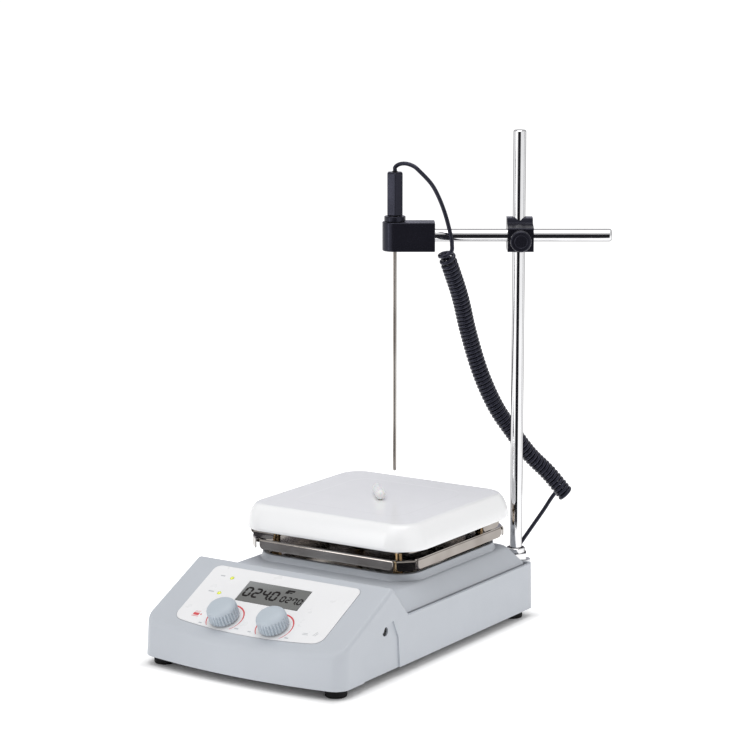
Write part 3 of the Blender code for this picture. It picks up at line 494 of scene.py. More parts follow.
def clouded(name, pattern, dark, light, rough, depth=0.0, wear=None, **sockets):
    """A surface whose tone and relief follow one noise, and whose gloss follows it or a second one."""
    made, tree, shader = start(name, **sockets)
    clouds = noise(tree, *pattern)
    tone = mixed(tree, spread(tree, clouds, 0, 1), dark, light)
    gloss = spread(tree, noise(tree, *wear) if wear else clouds, rough[0], rough[1])
    finish(tree, shader, tone, gloss, bump(tree, clouds, depth) if depth else None)
    return made


def ink(name, colour, **sockets):
    """Screen-printed ink: a little uneven in its density."""
    dark, light = shade(colour, 0.93), shade(colour, 1.05)
    return clouded(name, (0.0006, 3.0), dark, light, (0.32, 0.42), 0.000003, **sockets)


def window_look():
    """A display behind its window: painted light, lighter at the top left, with the cell's faint lattice."""
    made, tree, shader = start("window", Coat_Weight=1.0, Coat_Roughness=0.04)
    place = add(tree, "TexCoord").outputs["Object"]
    down = console_tilt.to_3x3() @ Vector((0.35, -1.0, 0.0)).normalized()
    along = add(tree, "VectorMath", {0: place, 1: down}, operation="DOT_PRODUCT").outputs["Value"]
    corner = CONSOLE @ Vector((-LCD_HALF[0], LCD_V + LCD_HALF[1], 0))
    far = CONSOLE @ Vector((LCD_HALF[0], LCD_V - LCD_HALF[1], 0))
    # Painted light: the display's face is brighter at the top left and darker towards the lower right.
    painted_light_fall = add(tree, "MapRange", {
        "Value": along,
        "From Min": corner.dot(down),
        "From Max": far.dot(down),
        "To Min": 0.0,
        "To Max": 1.0,
    }).outputs["Result"]
    painted_light_ramp = add(tree, "ValToRGB", {"Fac": painted_light_fall})
    painted_light_ramp.color_ramp.elements[0].color = (0.220, 0.230, 0.235, 1)
    painted_light_ramp.color_ramp.elements[1].color = (0.100, 0.104, 0.098, 1)
    middle_stop = painted_light_ramp.color_ramp.elements.new(0.45)
    middle_stop.color = (0.088, 0.090, 0.086, 1)
    cells = noise(tree, 0.0004, 1.0)
    tone = mixed(tree, spread(tree, cells, 0, 0.12), painted_light_ramp.outputs["Color"], (0.10, 0.11, 0.10))
    finish(tree, shader, tone, spread(tree, noise(tree, 0.008), 0.18, 0.30), bump(tree, cells, 0.000002))
    return made


def led_look():
    """A tinted lens, lit from inside on the side of its chip."""
    made, tree, shader = start("led", Coat_Weight=1.0, Coat_Roughness=0.05, Emission_Strength=0.35)
    glow = spread(tree, noise(tree, 0.0016, 1.0), 0, 1, 0.35, 0.65)
    tone = mixed(tree, glow, (0.420, 0.480, 0.020), (0.720, 0.760, 0.060))
    tree.links.new(tone, shader.inputs["Emission Color"])
    finish(tree, shader, tone, spread(tree, noise(tree, 0.001), 0.15, 0.3))
    return made


def mica_look():
    """Mica sheet over a wound resistance ribbon, whose rings show through."""
    made, tree, shader = start("mica")
    place = add(tree, "VectorMath", {0: place_in_metres(tree), 1: PLATE.translation}, operation="SUBTRACT")
    ribbon = add(
        tree, "TexWave", {"Vector": place.outputs["Vector"], "Scale": 90.0, "Distortion": 0.6},
        wave_type="RINGS", rings_direction="Z",
    ).outputs["Fac"]
    flakes = noise(tree, 0.004, 5.0)
    base = mixed(tree, spread(tree, flakes, 0, 1), (0.250, 0.200, 0.130), (0.400, 0.340, 0.240))
    tone = mixed(tree, spread(tree, ribbon, 0, 0.35), base, (0.12, 0.10, 0.09))
    finish(tree, shader, tone, spread(tree, flakes, 0.35, 0.7), bump(tree, ribbon, 0.00015))
    return made


def board_look():
    """Green solder mask: copper pours seen as lighter blocks under it, with tinned pads."""
    made, tree, shader = start("board", Coat_Weight=0.4, Coat_Roughness=0.2)
    place = place_in_metres(tree)
    blocks = add(tree, "TexVoronoi", {"Vector": place, "Scale": 140.0}, distance="CHEBYCHEV")
    dots = add(tree, "TexVoronoi", {"Vector": place, "Scale": 330.0, "Randomness": 0.35})
    pour, pads = blocks.outputs["Distance"], dots.outputs["Distance"]
    mask = mixed(tree, spread(tree, pour, 0, 1, 0.30, 0.34), (0.020, 0.140, 0.060), (0.012, 0.085, 0.038))
    tone = mixed(tree, spread(tree, pads, 1, 0, 0.16, 0.20), mask, (0.62, 0.62, 0.60))
    finish(tree, shader, tone, spread(tree, pads, 0.25, 0.5, 0.16, 0.20), bump(tree, pour, 0.00004))
    return made


LOOKS = {
    "housing": moulded("housing", (0.500, 0.527, 0.570), (0.36, 0.50), mottle=0.012),
    "knob_plastic": moulded(
        "knob_plastic", (0.465, 0.520, 0.575), (0.34, 0.46), grain=0.0003, mottle=0.015
    ),
    # Printed polyester with a fine velvet texture
    "overlay": moulded(
        "overlay", (0.840, 0.840, 0.852), (0.26, 0.38), grain=0.00022, depth=0.000004, mottle=0.012
    ),
    "window": window_look(),
    "led": led_look(),
    "board": board_look(),
    "component": moulded(
        "component", (0.014, 0.014, 0.016), (0.40, 0.55), grain=0.0005, mottle=0.10, Specular_IOR_Level=0.3
    ),
    # White glaze: a wet coat over a faintly uneven skin
    "ceramic": clouded(
        "ceramic", (0.030, 2.0), (0.880, 0.883, 0.892), (0.888, 0.891, 0.899), (0.25, 0.27),
        wear=(0.015, 3.0), Coat_Weight=0.5, Coat_Roughness=0.22,
    ),
    "mica": mica_look(),
    # Ceramic fibre felt
    "insulation": clouded(
        "insulation", (0.0012, 6.0, (1, 0.25, 1)), (0.60, 0.58, 0.52), (0.80, 0.78, 0.73), (0.85, 1.0),
        0.0004, Sheen_Weight=0.3,
    ),
    # Polished sheet that heat has tinted in soft straw and grey clouds
    "stainless": clouded(
        "stainless", (0.040, 2.0), (0.255, 0.228, 0.208), (0.410, 0.382, 0.358), (0.07, 0.14),
        0.00010, wear=(0.010, 4.0), Metallic=1.0,
    ),
    "chrome": clouded(
        "chrome", (0.018, 4.0), (0.700, 0.700, 0.710), (0.745, 0.745, 0.755), (0.030, 0.070),
        Metallic=1.0, Specular_Tint=(0.06, 0.05, 0.05, 1),
    ),
    "steel": metal("steel", (0.50, 0.50, 0.51), (0.28, 0.42), (1, 0.06, 1), depth=0.000004),
    "brass": metal("brass", (0.78, 0.56, 0.32), (0.16, 0.28), (1, 1, 12), line=0.0006, depth=0.000004),
    "magnet": metal("magnet", (0.58, 0.58, 0.60), (0.20, 0.34), line=0.0002),
    "aluminium": metal("aluminium", (0.68, 0.69, 0.71), (0.36, 0.50), line=0.0003, depth=0.000010),
    "rubber": moulded(
        "rubber", (0.008, 0.008, 0.009), (0.62, 0.82), grain=0.0005, depth=0.00003, mottle=0.15,
        Specular_IOR_Level=0.2,
    ),
    "black_plastic": moulded(
        "black_plastic", (0.0095, 0.0092, 0.0135), (0.20, 0.28), grain=0.0005, depth=0.00002, mottle=0.10,
        Specular_IOR_Level=0.30, Specular_Tint=BLUISH,
    ),
    # Polyurethane jacket: smooth and slightly waxy
    "cable": moulded(
        "cable", (0.0080, 0.0082, 0.0130), (0.22, 0.30), grain=0.0012, depth=0.000002, mottle=0.12,
        Specular_IOR_Level=0.4, Specular_Tint=BLUISH,
    ),
    "ptfe": clouded(
        "ptfe", (0.0015, 5.0), (0.80, 0.80, 0.80), (0.90, 0.90, 0.90), (0.25, 0.45), 0.00002,
        Coat_Weight=0.2, Subsurface_Weight=0.15, Subsurface_Scale=0.002,
    ),
}
RED_INK = ink("red_ink", (0.66, 0.060, 0.070))
GREY_INK = ink("grey_ink", (0.52, 0.53, 0.55))
DIGIT_INK = ink("digit_ink", (0.0085, 0.0070, 0.0070), Specular_IOR_Level=0.1)


# ---------------------------------------------------------------- shape helpers

def loft(rings):
    """A skin over rings that all have the same number of points, closed at both ends."""
    bm = bmesh.new()
    rows = [[bm.verts.new(point) for point in ring] for ring in rings]
    for low, high in zip(rows, rows[1:]):
        for i in range(len(low)):
            j = (i + 1) % len(low)
            bm.faces.new((low[i], low[j], high[j], high[i]))
    bm.faces.new(list(reversed(rows[0])))
    bm.faces.new(rows[-1])
    return bm


def slab(outline, low, high):
    return loft([[(x, y, z) for x, y in outline] for z in (low, high)])


def box(low, high):
    (x0, y0, z0), (x1, y1, z1) = low, high
    return slab(((x0, y0), (x1, y0), (x1, y1), (x0, y1)), z0, z1)


def side_slab(outline, x_low, x_high):
    """An outline of (y, z) points, carried across from x_low to x_high."""
    return loft([[(x, y, z) for y, z in outline] for x in (x_low, x_high)])


def turned(profile, steps=64):
    """A body of revolution about Z. A profile of (radius, height) points that starts and ends on the
    axis closes there, and any other is a loop."""
    bm = bmesh.new()
    rings = []
    for radius, height in profile:
        if radius == 0:
            rings.append([bm.verts.new((0, 0, height))] * steps)
            continue
        angles = [2 * math.pi * k / steps for k in range(steps)]
        rings.append([bm.verts.new((radius * math.cos(a), radius * math.sin(a), height)) for a in angles])
    pairs = list(zip(rings, rings[1:]))
    if profile[0][0] > 0:
        pairs.append((rings[-1], rings[0]))
    for first, second in pairs:
        for k in range(steps):
            n = (k + 1) % steps
            bm.faces.new(list(dict.fromkeys((first[k], first[n], second[n], second[k]))))
    return bm


def rod(radius, low, high, steps=48):
    return turned(((0, low), (radius, low), (radius, high), (0, high)), steps)


def fillet(points, radii, steps=6):
    """A flat outline with some of its corners rounded."""
    rounded = []
    count = len(points)
    for i, radius in enumerate(radii):
        corner = Vector(points[i])
        if radius <= 0:
            rounded.append(tuple(corner))
            continue
        to_last = (Vector(points[i - 1]) - corner).normalized()
        to_next = (Vector(points[(i + 1) % count]) - corner).normalized()
        half = to_last.angle(to_next) / 2
        centre = corner + (to_last + to_next).normalized() * radius / math.sin(half)
        reach = radius / math.tan(half)
        first = corner + to_last * reach - centre
        sweep = math.pi - 2 * half
        side = 1 if first.x * (-to_last.y) - first.y * (-to_last.x) > 0 else -1
        for k in range(steps + 1):
            a = side * sweep * k / steps
            x = first.x * math.cos(a) - first.y * math.sin(a)
            y = first.x * math.sin(a) + first.y * math.cos(a)
            rounded.append((centre.x + x, centre.y + y))
    return rounded


def softened(profile, radius, steps=4):
    """A turned profile whose corners between the axis points are rounded."""
    inner = []
    for i in range(1, len(profile) - 1):
        corner = Vector(profile[i])
        to_last = Vector(profile[i - 1]) - corner
        to_next = Vector(profile[i + 1]) - corner
        reach = min(radius, 0.45 * to_last.length, 0.45 * to_next.length)
        first = corner + to_last.normalized() * reach
        last = corner + to_next.normalized() * reach
        for k in range(steps + 1):
            t = k / steps
            inner.append(tuple(first * (1 - t) ** 2 + corner * 2 * t * (1 - t) + last * t * t))
    return [profile[0], *inner, profile[-1]]


def rounded_bar(centre, half, radii, steps=6):
    """A rectangle with its corners rounded, from its lower left one."""
    (x, y), (a, b) = centre, half
    return fillet([(x - a, y - b), (x + a, y - b), (x + a, y + b), (x - a, y + b)], radii, steps)


def rounded_square(half_x, half_y, radius, z=0.0, steps=12, centre=(0.0, 0.0)):
    """A ring of points around a square with round corners, anticlockwise from above."""
    points = []
    for quarter in range(4):
        sign_x = 1 if quarter in (0, 3) else -1
        sign_y = 1 if quarter in (0, 1) else -1
        for k in range(steps + 1):
            angle = quarter * math.pi / 2 + math.pi / 2 * k / steps
            x = centre[0] + sign_x * (half_x - radius) + radius * math.cos(angle)
            y = centre[1] + sign_y * (half_y - radius) + radius * math.sin(angle)
            points.append((x, y, z))
    return points


def catmull(knots, steps):
    """Points on a smooth curve through the knots, so many for each span."""
    knots = [Vector(knot) for knot in knots]
    ends = [2 * knots[0] - knots[1], *knots, 2 * knots[-1] - knots[-2]]
    fine = []
    for a, b, c, d in zip(ends, ends[1:], ends[2:], ends[3:]):
        for k in range(steps):
            t = k / steps
            bend = 2 * a - 5 * b + 4 * c - d
            twist = 3 * b - a - 3 * c + d
            fine.append((2 * b + (c - a) * t + bend * t * t + twist * t**3) / 2)
    fine.append(knots[-1])
    return fine


def even(fine, spacing):
    """The same line with evenly spaced points."""
    lengths = [(q - p).length for p, q in zip(fine, fine[1:])]
    total = sum(lengths)
    count = max(2, round(total / spacing))
    points = [fine[0]]
    done = 0.0
    for p, q, length in zip(fine, fine[1:], lengths):
        while len(points) < count and done + length >= total * len(points) / count:
            share = (total * len(points) / count - done) / length
            points.append(p.lerp(q, share))
        done += length
    points.append(fine[-1])
    return points


# ---------------------------------------------------------------- pieces

def temporary(bm, place):
    """An object for a Boolean step, its mesh in the row frame."""
    bmesh.ops.recalc_face_normals(bm, faces=bm.faces)
    mesh = bpy.data.meshes.new("temporary")
    bm.to_mesh(mesh)
    bm.free()
    mesh.transform(place)
    return linked("temporary", mesh)


def combined(first, *steps):
    """The mesh of one (bmesh, place) after Boolean steps, each ("DIFFERENCE" or "UNION", bmesh, place)."""
    target = temporary(*first)
    others = []
    for operation, bm, place in steps:
        other = temporary(bm, place)
        modifier = target.modifiers.new("step", "BOOLEAN")
        modifier.operation = operation
        modifier.object = other
        others.append(other)
    graph = bpy.context.evaluated_depsgraph_get()
    graph.update()
    mesh = bpy.data.meshes.new_from_object(target.evaluated_get(graph))
    for obj in (target, *others):
        bpy.data.objects.remove(obj, do_unlink=True)
    return mesh


def cuts(*shapes):
    return [("DIFFERENCE", bm, place) for bm, place in shapes]


def joins(*shapes):
    return [("UNION", bm, place) for bm, place in shapes]


def piece(name, mesh, look, body, replaces=(), soften=0.0, segments=3, sharp=35):
    """A finished piece from a mesh in the row frame: edges softened, shaded smooth, riding on its body."""
    mesh.name = name
    made = linked(name, mesh)
    mesh.materials.clear()
    material = LOOKS[look] if isinstance(look, str) else look
    mesh.materials.append(material)
    if soften:
        modifier = made.modifiers.new("soften", "BEVEL")
        modifier.width = soften
        modifier.segments = segments
        modifier.angle_limit = math.radians(40)
        modifier.miter_outer = "MITER_ARC"
        graph = bpy.context.evaluated_depsgraph_get()
        graph.update()
        made.data = bpy.data.meshes.new_from_object(made.evaluated_get(graph))
        made.data.name = name
        made.modifiers.clear()
    made.data.shade_smooth()
    made.data.set_sharp_from_angle(angle=math.radians(sharp))
    weighted = made.modifiers.new("weighted", "WEIGHTED_NORMAL")
    weighted.keep_sharp = True
    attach(made, body)
    if replaces:
        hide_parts(*replaces)
    return made


def plain(name, bm, place, look, body, replaces=(), **options):
    """A piece from one bmesh with no Boolean."""
    return piece(name, combined((bm, place)), look, body, replaces, **options)


# ---------------------------------------------------------------- lead

def turned_frames(points):
    """At each point, two directions across the line that don't twist along it."""
    tangents = []
    for i in range(len(points)):
        tangents.append((points[min(i + 1, len(points) - 1)] - points[max(i - 1, 0)]).normalized())
    across = tangents[0].orthogonal().normalized()
    frames = []
    for tangent in tangents:
        across = (across - tangent * across.dot(tangent)).normalized()
        frames.append((across, tangent.cross(across)))
    return frames


def helix(route):
    """The curly part: turns along the route, close together but for the first few."""
    centre = even(catmull(route, 40), 0.0002)
    frames = turned_frames(centre)
    start_side = Vector(LEAD_ROUTE[-1]) - centre[0]
    phase = math.atan2(start_side.dot(frames[0][1]), start_side.dot(frames[0][0]))
    points = []
    angle = phase
    step = 2 * math.pi / TURN_STEPS
    done = 0.0
    next_angle = phase
    for i, (middle_point, (first, second)) in enumerate(zip(centre, frames)):
        if angle >= next_angle:
            side = first * math.cos(angle) + second * math.sin(angle)
            points.append(middle_point + side * HELIX_RADIUS)
            next_angle += step
        if i + 1 < len(centre):
            length = (centre[i + 1] - middle_point).length
            loose = max(0.0, 1 - done / LOOSE_LENGTH)
            angle += 2 * math.pi * length / (TURN_PITCH + (LOOSE_PITCH - TURN_PITCH) * loose)
            done += length
    return points


def swept(points, frames, radius, sides=14):
    """A tube over these points, closed at both ends."""
    angles = [2 * math.pi * i / sides for i in range(sides)]
    rings = []
    for (x_side, y_side), point in zip(frames, points):
        rings.append([point + (x_side * math.cos(a) + y_side * math.sin(a)) * radius for a in angles])
    return loft(rings)


def build_lead():
    """The lead in five stretches, split where it passes from one body of the stand to the next."""
    turns = helix(COIL_ROUTE)
    lead = even(catmull(LEAD_ROUTE, 30), CORD_SPACING)
    bridge = catmull([lead[-6], lead[-1] - Vector((0, 0, 0.0004)), turns[3], turns[4]], 10)[:-10]
    line = [*lead[:-5], *bridge[1:], *turns[4:]]
    frames = turned_frames(line)
    placed = [LAYOUT @ point for point in line]
    coil_start = len(lead) + len(bridge) - 6
    bounds = [0, next(i for i, point in enumerate(line) if point.x > LEAD_BREAK_X), coil_start]
    for height in COIL_BREAKS:
        bounds.append(next(i for i, p in enumerate(line) if i > coil_start and p.z < height))
    bounds.append(len(line) - 1)
    names = ("lead_upper", "lead_lower", "coil_top", "coil_middle", "coil_foot")
    bodies = ("probe", "holder", "arm", "boss", "upright", "root")
    for name, first, last, host, other in zip(names, bounds, bounds[1:], bodies, bodies[1:]):
        stretch = placed[first:last + 1]
        bm = swept(stretch, frames[first:last + 1], CORD_RADIUS)
        mesh = combined((bm, Matrix.Identity(4)))
        mesh.materials.clear()
        mesh.materials.append(LOOKS["cable"])
        mesh.shade_smooth()
        mesh.set_sharp_from_angle(angle=math.radians(60))
        made = linked(name, mesh)
        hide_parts("cord_lead" if name.startswith("lead") else "cord_coil")
        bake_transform(made)


def build_tail():
    """From the coil's foot the lead passes behind it, straight down to its plug in the rear wall."""
    points = [LAYOUT @ point for point in even(catmull(TAIL_ROUTE, 30), CORD_SPACING)]
    bm = swept(points, turned_frames(points), CORD_RADIUS)
    made = plain("lead_tail", bm, Matrix.Identity(4), "cable", "root", ("cord_tail",), sharp=60)


# ---------------------------------------------------------------- housing

def meet(point, slope, other, other_slope):
    """Where two lines z = slope * (y - y0) + z0 cross."""
    y = (other[1] - point[1] + slope * point[0] - other_slope * other[0]) / (slope - other_slope)
    return y, point[1] + slope * (y - point[0])


def arc_drop(side, half, radius):
    """How far a round corner of this radius falls away at a distance from the middle."""
    into = max(0.0, side - (half - radius))
    return radius - math.sqrt(max(0.0, radius**2 - into**2))


def front_y(x, shell):
    """The front edge in plan: a shallow bow that runs into a round corner at each side."""
    bow = FRONT_BOW * (abs(x) / BODY_HALF) ** 2
    return FRONT_Y + shell + bow + arc_drop(abs(x), BODY_HALF - shell, FRONT_CORNER - shell)


def rear_y(x, shell):
    return BODY_DEPTH - shell - arc_drop(abs(x), BODY_HALF - shell, REAR_CORNER - shell)


def stations(shell, inner=14, corner=16):
    """Places across the housing, closer together in its round corners."""
    radius = FRONT_CORNER - shell
    flat = BODY_HALF - shell - radius
    right = [flat * (i + 1) / inner for i in range(inner)]
    right += [flat + radius * math.sin(math.pi / 2 * (i + 1) / corner) for i in range(corner)]
    return [-x for x in reversed(right)] + [0.0] + right


def section(x, shell):
    """The housing's outline in (y, z) at x. A shell above 0 gives the hollow inside."""
    edge = max(EDGE_RADIUS - shell, 0.0005)
    lost = shell + arc_drop(abs(x), BODY_HALF - shell, edge)
    floor = BASE_Z if shell == 0 else -0.005
    front = front_y(x, shell)
    back = rear_y(x, shell)
    console = (APEX_Y, APEX_Z - lost * math.hypot(1, CONSOLE_SLOPE))
    rear = (APEX_Y, APEX_Z - lost * math.hypot(1, REAR_SLOPE))
    ridge = meet((front, BASE_Z), 1 / FRONT_SLOPE, console, CONSOLE_SLOPE)
    apex = meet(console, CONSOLE_SLOPE, rear, -REAR_SLOPE)
    bottom = front + (floor - BASE_Z) * FRONT_SLOPE
    if shell == 0:
        foot = (APEX_Y + (rear[1] - SEAM_Z) / REAR_SLOPE, SEAM_Z)
        behind = [foot, (back, SEAM_Z), (back, floor)]
    else:
        ledge = SEAM_Z - 0.0012
        foot = (APEX_Y + (rear[1] - ledge) / REAR_SLOPE, ledge)
        behind = [foot, (LEDGE_Y, ledge), (LEDGE_Y, 0.075), (back, 0.075), (back, floor)]
    corners = [(bottom, floor), ridge, apex, *behind]
    radii = [0, RIDGE_RADIUS - shell, max(APEX_RADIUS - shell, 0.0005)] + [0] * len(behind)
    return fillet(corners, radii, 10)


def drafted(x, z):
    """The sides lean in a little towards the top."""
    return x * (1 - SIDE_DRAFT * max(0.0, z - BASE_Z))


def housing_shape(shell):
    return loft([[(drafted(x, z), y, z) for y, z in section(x, shell)] for x in stations(shell)])


def recess_shape(side):
    """A shallow step in the side wall, between the console's part and the low part."""
    outline = ((0.0403, 0.0), (0.0893, 0.0), (0.0876, 0.0302), (0.0806, 0.0451), (0.0403, 0.0265))
    rows = []
    for out in (-RECESS_DEPTH, 0.004):
        rows.append([(side * (drafted(BODY_HALF, z) + out), y, z) for y, z in outline])
    return loft(rows)


def overlay_outline(margin=0.0):
    """The printed overlay: straight sides, round corners and a bowed lower edge, in (u, v)."""
    top = OVERLAY_TOP + margin
    side = OVERLAY_HALF + margin
    low = OVERLAY_LOW - margin
    corners = [(side, top), (-side, top), (-side, low + OVERLAY_BOW)]
    for k in range(33):
        u = 0.055 * (k / 16 - 1)
        corners.append((u, low + OVERLAY_BOW * (u / side) ** 2))
    corners.append((side, low + OVERLAY_BOW))
    return fillet(corners, [0.006, 0.006, 0.009] + [0] * 33 + [0.009], 12)


def console_place(u, v):
    return CONSOLE @ Matrix.Translation((u, v, 0))


def console_bores(reach):
    """Holes for the knobs' shafts and the lamps, so far into the console and out of it."""
    bores = [(rod(0.0045, -reach, reach), console_place(u, KNOB_V)) for u in KNOB_U]
    bores += [(rod(0.0018, -reach, reach, 24), console_place(u, v)) for u, v in LED_PLACES.values()]
    return bores


def build_housing():
    low, high = layout_box("rear_panel")
    panel = box((low.x - GAP, low.y - 0.004, low.z - GAP), (high.x + GAP, high.y + 0.004, high.z + GAP))
    screw_low, screw_high = layout_box("safety_limit_screw")
    screw = (0, (screw_low.y + screw_high.y) / 2, (screw_low.z + screw_high.z) / 2)
    half_u, half_v = LCD_HALF[0] - 0.002, LCD_HALF[1] - 0.0015
    holes = [
        (housing_shape(WALL), LAYOUT),
        (recess_shape(-1), LAYOUT),
        (recess_shape(1), LAYOUT),
        (rod(0.0037, 0.070, 0.100), turned_to(screw, "x")),
        (panel, LAYOUT),
        (slab(overlay_outline(GAP), -OVERLAY_DEPTH, 0.004), CONSOLE),
        (box((-half_u, LCD_V - half_v, -0.006), (half_u, LCD_V + half_v, 0.004)), CONSOLE),
        *console_bores(0.006),
    ]
    mesh = combined((housing_shape(0.0), LAYOUT), *cuts(*holes))
    piece("housing_shell", mesh, "housing", "root", ("main_housing",), soften=0.00025, segments=2)


def cover_rings(shell):
    """The rear cover from its foot to its deck: sloping sides and a rounded edge."""
    low, high = layout_box("top_cover")
    half_foot = (high.x - low.x) / 2
    shape = [(0.0, SEAM_Z - 0.002), (0.0, SEAM_Z + 0.0004)]
    curve = [(0.0090, 0.0571), (0.0107, 0.0588), (0.0129, 0.0597), (0.0153, DECK_Z)]
    fine = catmull([Vector((a, b, 0)) for a, b in curve], 4)
    shape += [(point.x, point.y) for point in fine]
    rings = []
    for inward, z in shape:
        half = half_foot - shell - inward
        back = high.y - shell - inward
        height = z - shell if z > SEAM_Z + 0.001 else z - 2 * shell
        rings.append(rounded_square(half, (back - 0.060) / 2, 0.008, height, 10, (0.0, (back + 0.060) / 2)))
    return rings


def console_side(clearance):
    """What lies on the console's side of the cover's front edge."""
    top = 0.090
    run = APEX_Y + clearance * math.hypot(1, 1 / REAR_SLOPE)
    at_top = run - (top - APEX_Z) / REAR_SLOPE
    at_ledge = run + (APEX_Z - SEAM_Z - 0.0004) / REAR_SLOPE
    ledge = LEDGE_Y + clearance
    step = SEAM_Z + 0.0004
    return (0.030, 0.0), (ledge, 0.0), (ledge, step), (at_ledge, step), (at_top, top), (0.030, top)


def build_cover():
    half = 0.0725
    top = layout_box("top_cover")[1].z
    centre = (0.0, PLATE_Y)
    lip = [(0.0022, DECK_Z - 0.002), (0.0016, DECK_Z + 0.0002), (0.0006, DECK_Z + 0.0012)]
    lip += [(0.0, top - 0.0009), (-0.0003, top - 0.0003), (-0.0009, top)]
    plinth = loft([rounded_square(half + out, half + out, 0.022 + out, z, 16, centre) for out, z in lip])
    well = loft([rounded_square(half - 0.003, half - 0.003, 0.0195, z, 16, centre) for z in (DECK_Z, 0.070)])
    inner = combined(
        (loft(cover_rings(WALL)), Matrix.Identity(4)),
        *cuts((side_slab(console_side(GAP + WALL), -0.1, 0.1), Matrix.Identity(4))),
    )
    hollow = bmesh.new()
    hollow.from_mesh(inner)
    mesh = combined(
        (loft(cover_rings(0.0)), LAYOUT),
        *joins((plinth, LAYOUT)),
        *cuts(
            (well, LAYOUT),
            (hollow, LAYOUT),
            (side_slab(console_side(GAP), -0.1, 0.1), LAYOUT),
            (rod(0.008, 0.050, 0.070), PLATE),
        ),
    )
    piece("rear_cover", mesh, "housing", "root", ("top_cover",), soften=0.00025, segments=2)
    edge = half - 0.0035
    tray = [(edge, 0.0003), (edge, 0.0020), (edge - 0.0006, 0.0020), (edge - 0.0008, 0.0010)]
    tray.append((edge - 0.0015, 0.0009))
    rings = [rounded_square(out, out, 0.019 - edge + out, DECK_Z + z, 16, centre) for out, z in tray]
    holes = [(rod(0.009, 0.050, 0.070), PLATE), *post_holes(0.0046, 0.050, 0.070)]
    mesh = combined((loft(rings), LAYOUT), *cuts(*holes))
    piece("plinth_tray", mesh, "stainless", "root", soften=0.00015, segments=2)


def build_base():
    shell = WALL + GAP
    places = stations(shell)
    outline = [(x, front_y(x, shell)) for x in places] + [(x, rear_y(x, shell)) for x in reversed(places)]
    vents = []
    for row in range(5):
        slot = rounded_bar((0, 0.1215 + 0.008 * row), (0.030, 0.0015), [0.0014] * 4, 5)
        vents.append((slab(slot, 0.0, 0.020), LAYOUT))
    base = (slab(outline, BASE_Z, BASE_Z + 0.0015), LAYOUT)
    piece("base_plate", combined(base, *cuts(*vents)), "steel", "root", ("bottom_plate",), soften=0.0002)
    for i in range(4):
        name = f"foot_{i}"
        low, high = layout_box(name)
        radius = (high.x - low.x) / 2
        top = high.z
        profile = ((0, 0.0006), (0.0030, 0.0006), (0.0036, 0), (radius - 0.0006, 0), (radius, 0.0008))
        profile += ((radius, 0.0055), (radius - 0.0012, top), (0, top))
        place = Matrix.Translation(middle(name) * Vector((1, 1, 0)))
        plain(f"rubber_{name}", turned(softened(profile, 0.0005), 48), place, "rubber", "root", (name,))


# ---------------------------------------------------------------- console

def build_console():
    half_u, half_v = LCD_HALF
    opening = box((-half_u, LCD_V - half_v, -0.004), (half_u, LCD_V + half_v, 0.004))
    holes = [(opening, CONSOLE), *console_bores(0.004)]
    film = (slab(overlay_outline(), -OVERLAY_DEPTH + GAP, GAP), CONSOLE)
    mesh = combined(film, *cuts(*holes))
    piece("printed_overlay", mesh, "overlay", "root", ("console_overlay",), soften=0.00008, segments=2)
    low = (-half_u + GAP, LCD_V - half_v + GAP, -OVERLAY_DEPTH + GAP)
    high = (half_u - GAP, LCD_V + half_v - GAP, GAP)
    plain("display_window", box(low, high), CONSOLE, "window", "root", ("lcd_window",), soften=0.0001)
    dome = [(0, -0.005), (0.0015, -0.005), (0.0015, 0.0002), (0.0016, 0.0002), (0.0016, 0.0004)]
    dome += [(0.0015 * math.cos(a), 0.0004 + 0.0007 * math.sin(a)) for a in (0.3, 0.6, 0.9, 1.2)]
    for name, place in LED_PLACES.items():
        bm = turned([*dome, (0, 0.0011)], 32)
        plain(f"{name}_lens", bm, console_place(*place), "led", "root", (name,))
    for name, u in zip(("heat", "stir"), KNOB_U):
        build_knob(name, u)
    build_prints()
    build_digits()


def build_knob(name, u):
    """A domed knob: its side is fluted, and the flutes run out below a soft shoulder."""
    steps = FLUTES * 10
    foot = KNOB_BOTTOM + 0.0010
    outer = [(0.0033, KNOB_BOTTOM + 0.0004, 0), (0.0036, KNOB_BOTTOM, 0)]
    outer += [(KNOB_RADIUS - 0.0006, KNOB_BOTTOM, 0.3), (KNOB_RADIUS - 0.0001, KNOB_BOTTOM + 0.0003, 0.9)]
    outer += [(KNOB_RADIUS - 0.00002 * k, foot + 0.00115 * k, 1.0) for k in range(7)]
    outer += [(KNOB_RADIUS - 0.00020, 0.0100, 0.85), (KNOB_RADIUS - 0.00036, 0.0106, 0.50)]
    outer += [(KNOB_RADIUS - 0.00060, 0.0111, 0.15)]
    shoulder = [(KNOB_RADIUS - 0.0010, 0.0116), (0.0099, 0.0126), (0.0082, 0.0135), (0.0060, 0.0141)]
    shoulder += [(0.0036, 0.0144), (0.0014, 0.0145)]
    outer += [(point.x, point.y, 0) for point in catmull([(x, y, 0) for x, y in shoulder], 3)]
    bm = bmesh.new()
    rings = []
    for radius, height, depth in outer:
        ring = []
        for k in range(steps):
            angle = 2 * math.pi * k / steps
            wave = 0.5 + 0.5 * math.cos(FLUTES * angle)
            reach = radius - FLUTE_DEPTH * depth * wave**1.8
            ring.append(bm.verts.new((reach * math.cos(angle), reach * math.sin(angle), height)))
        rings.append(ring)
    ends = (bm.verts.new((0, 0, 0.0110)), bm.verts.new((0, 0, KNOB_TOP + 0.0001)))
    for first, second in zip(rings, rings[1:]):
        for k in range(steps):
            n = (k + 1) % steps
            bm.faces.new((first[k], first[n], second[n], second[k]))
    for ring, end in ((rings[0], ends[0]), (rings[-1], ends[1])):
        for k in range(steps):
            bm.faces.new((ring[k], ring[(k + 1) % steps], end))
    place = console_place(u, KNOB_V)
    plain(f"control_knob_{name}", bm, place, "knob_plastic", f"{name}_knob", (f"knob_{name}",), sharp=50)


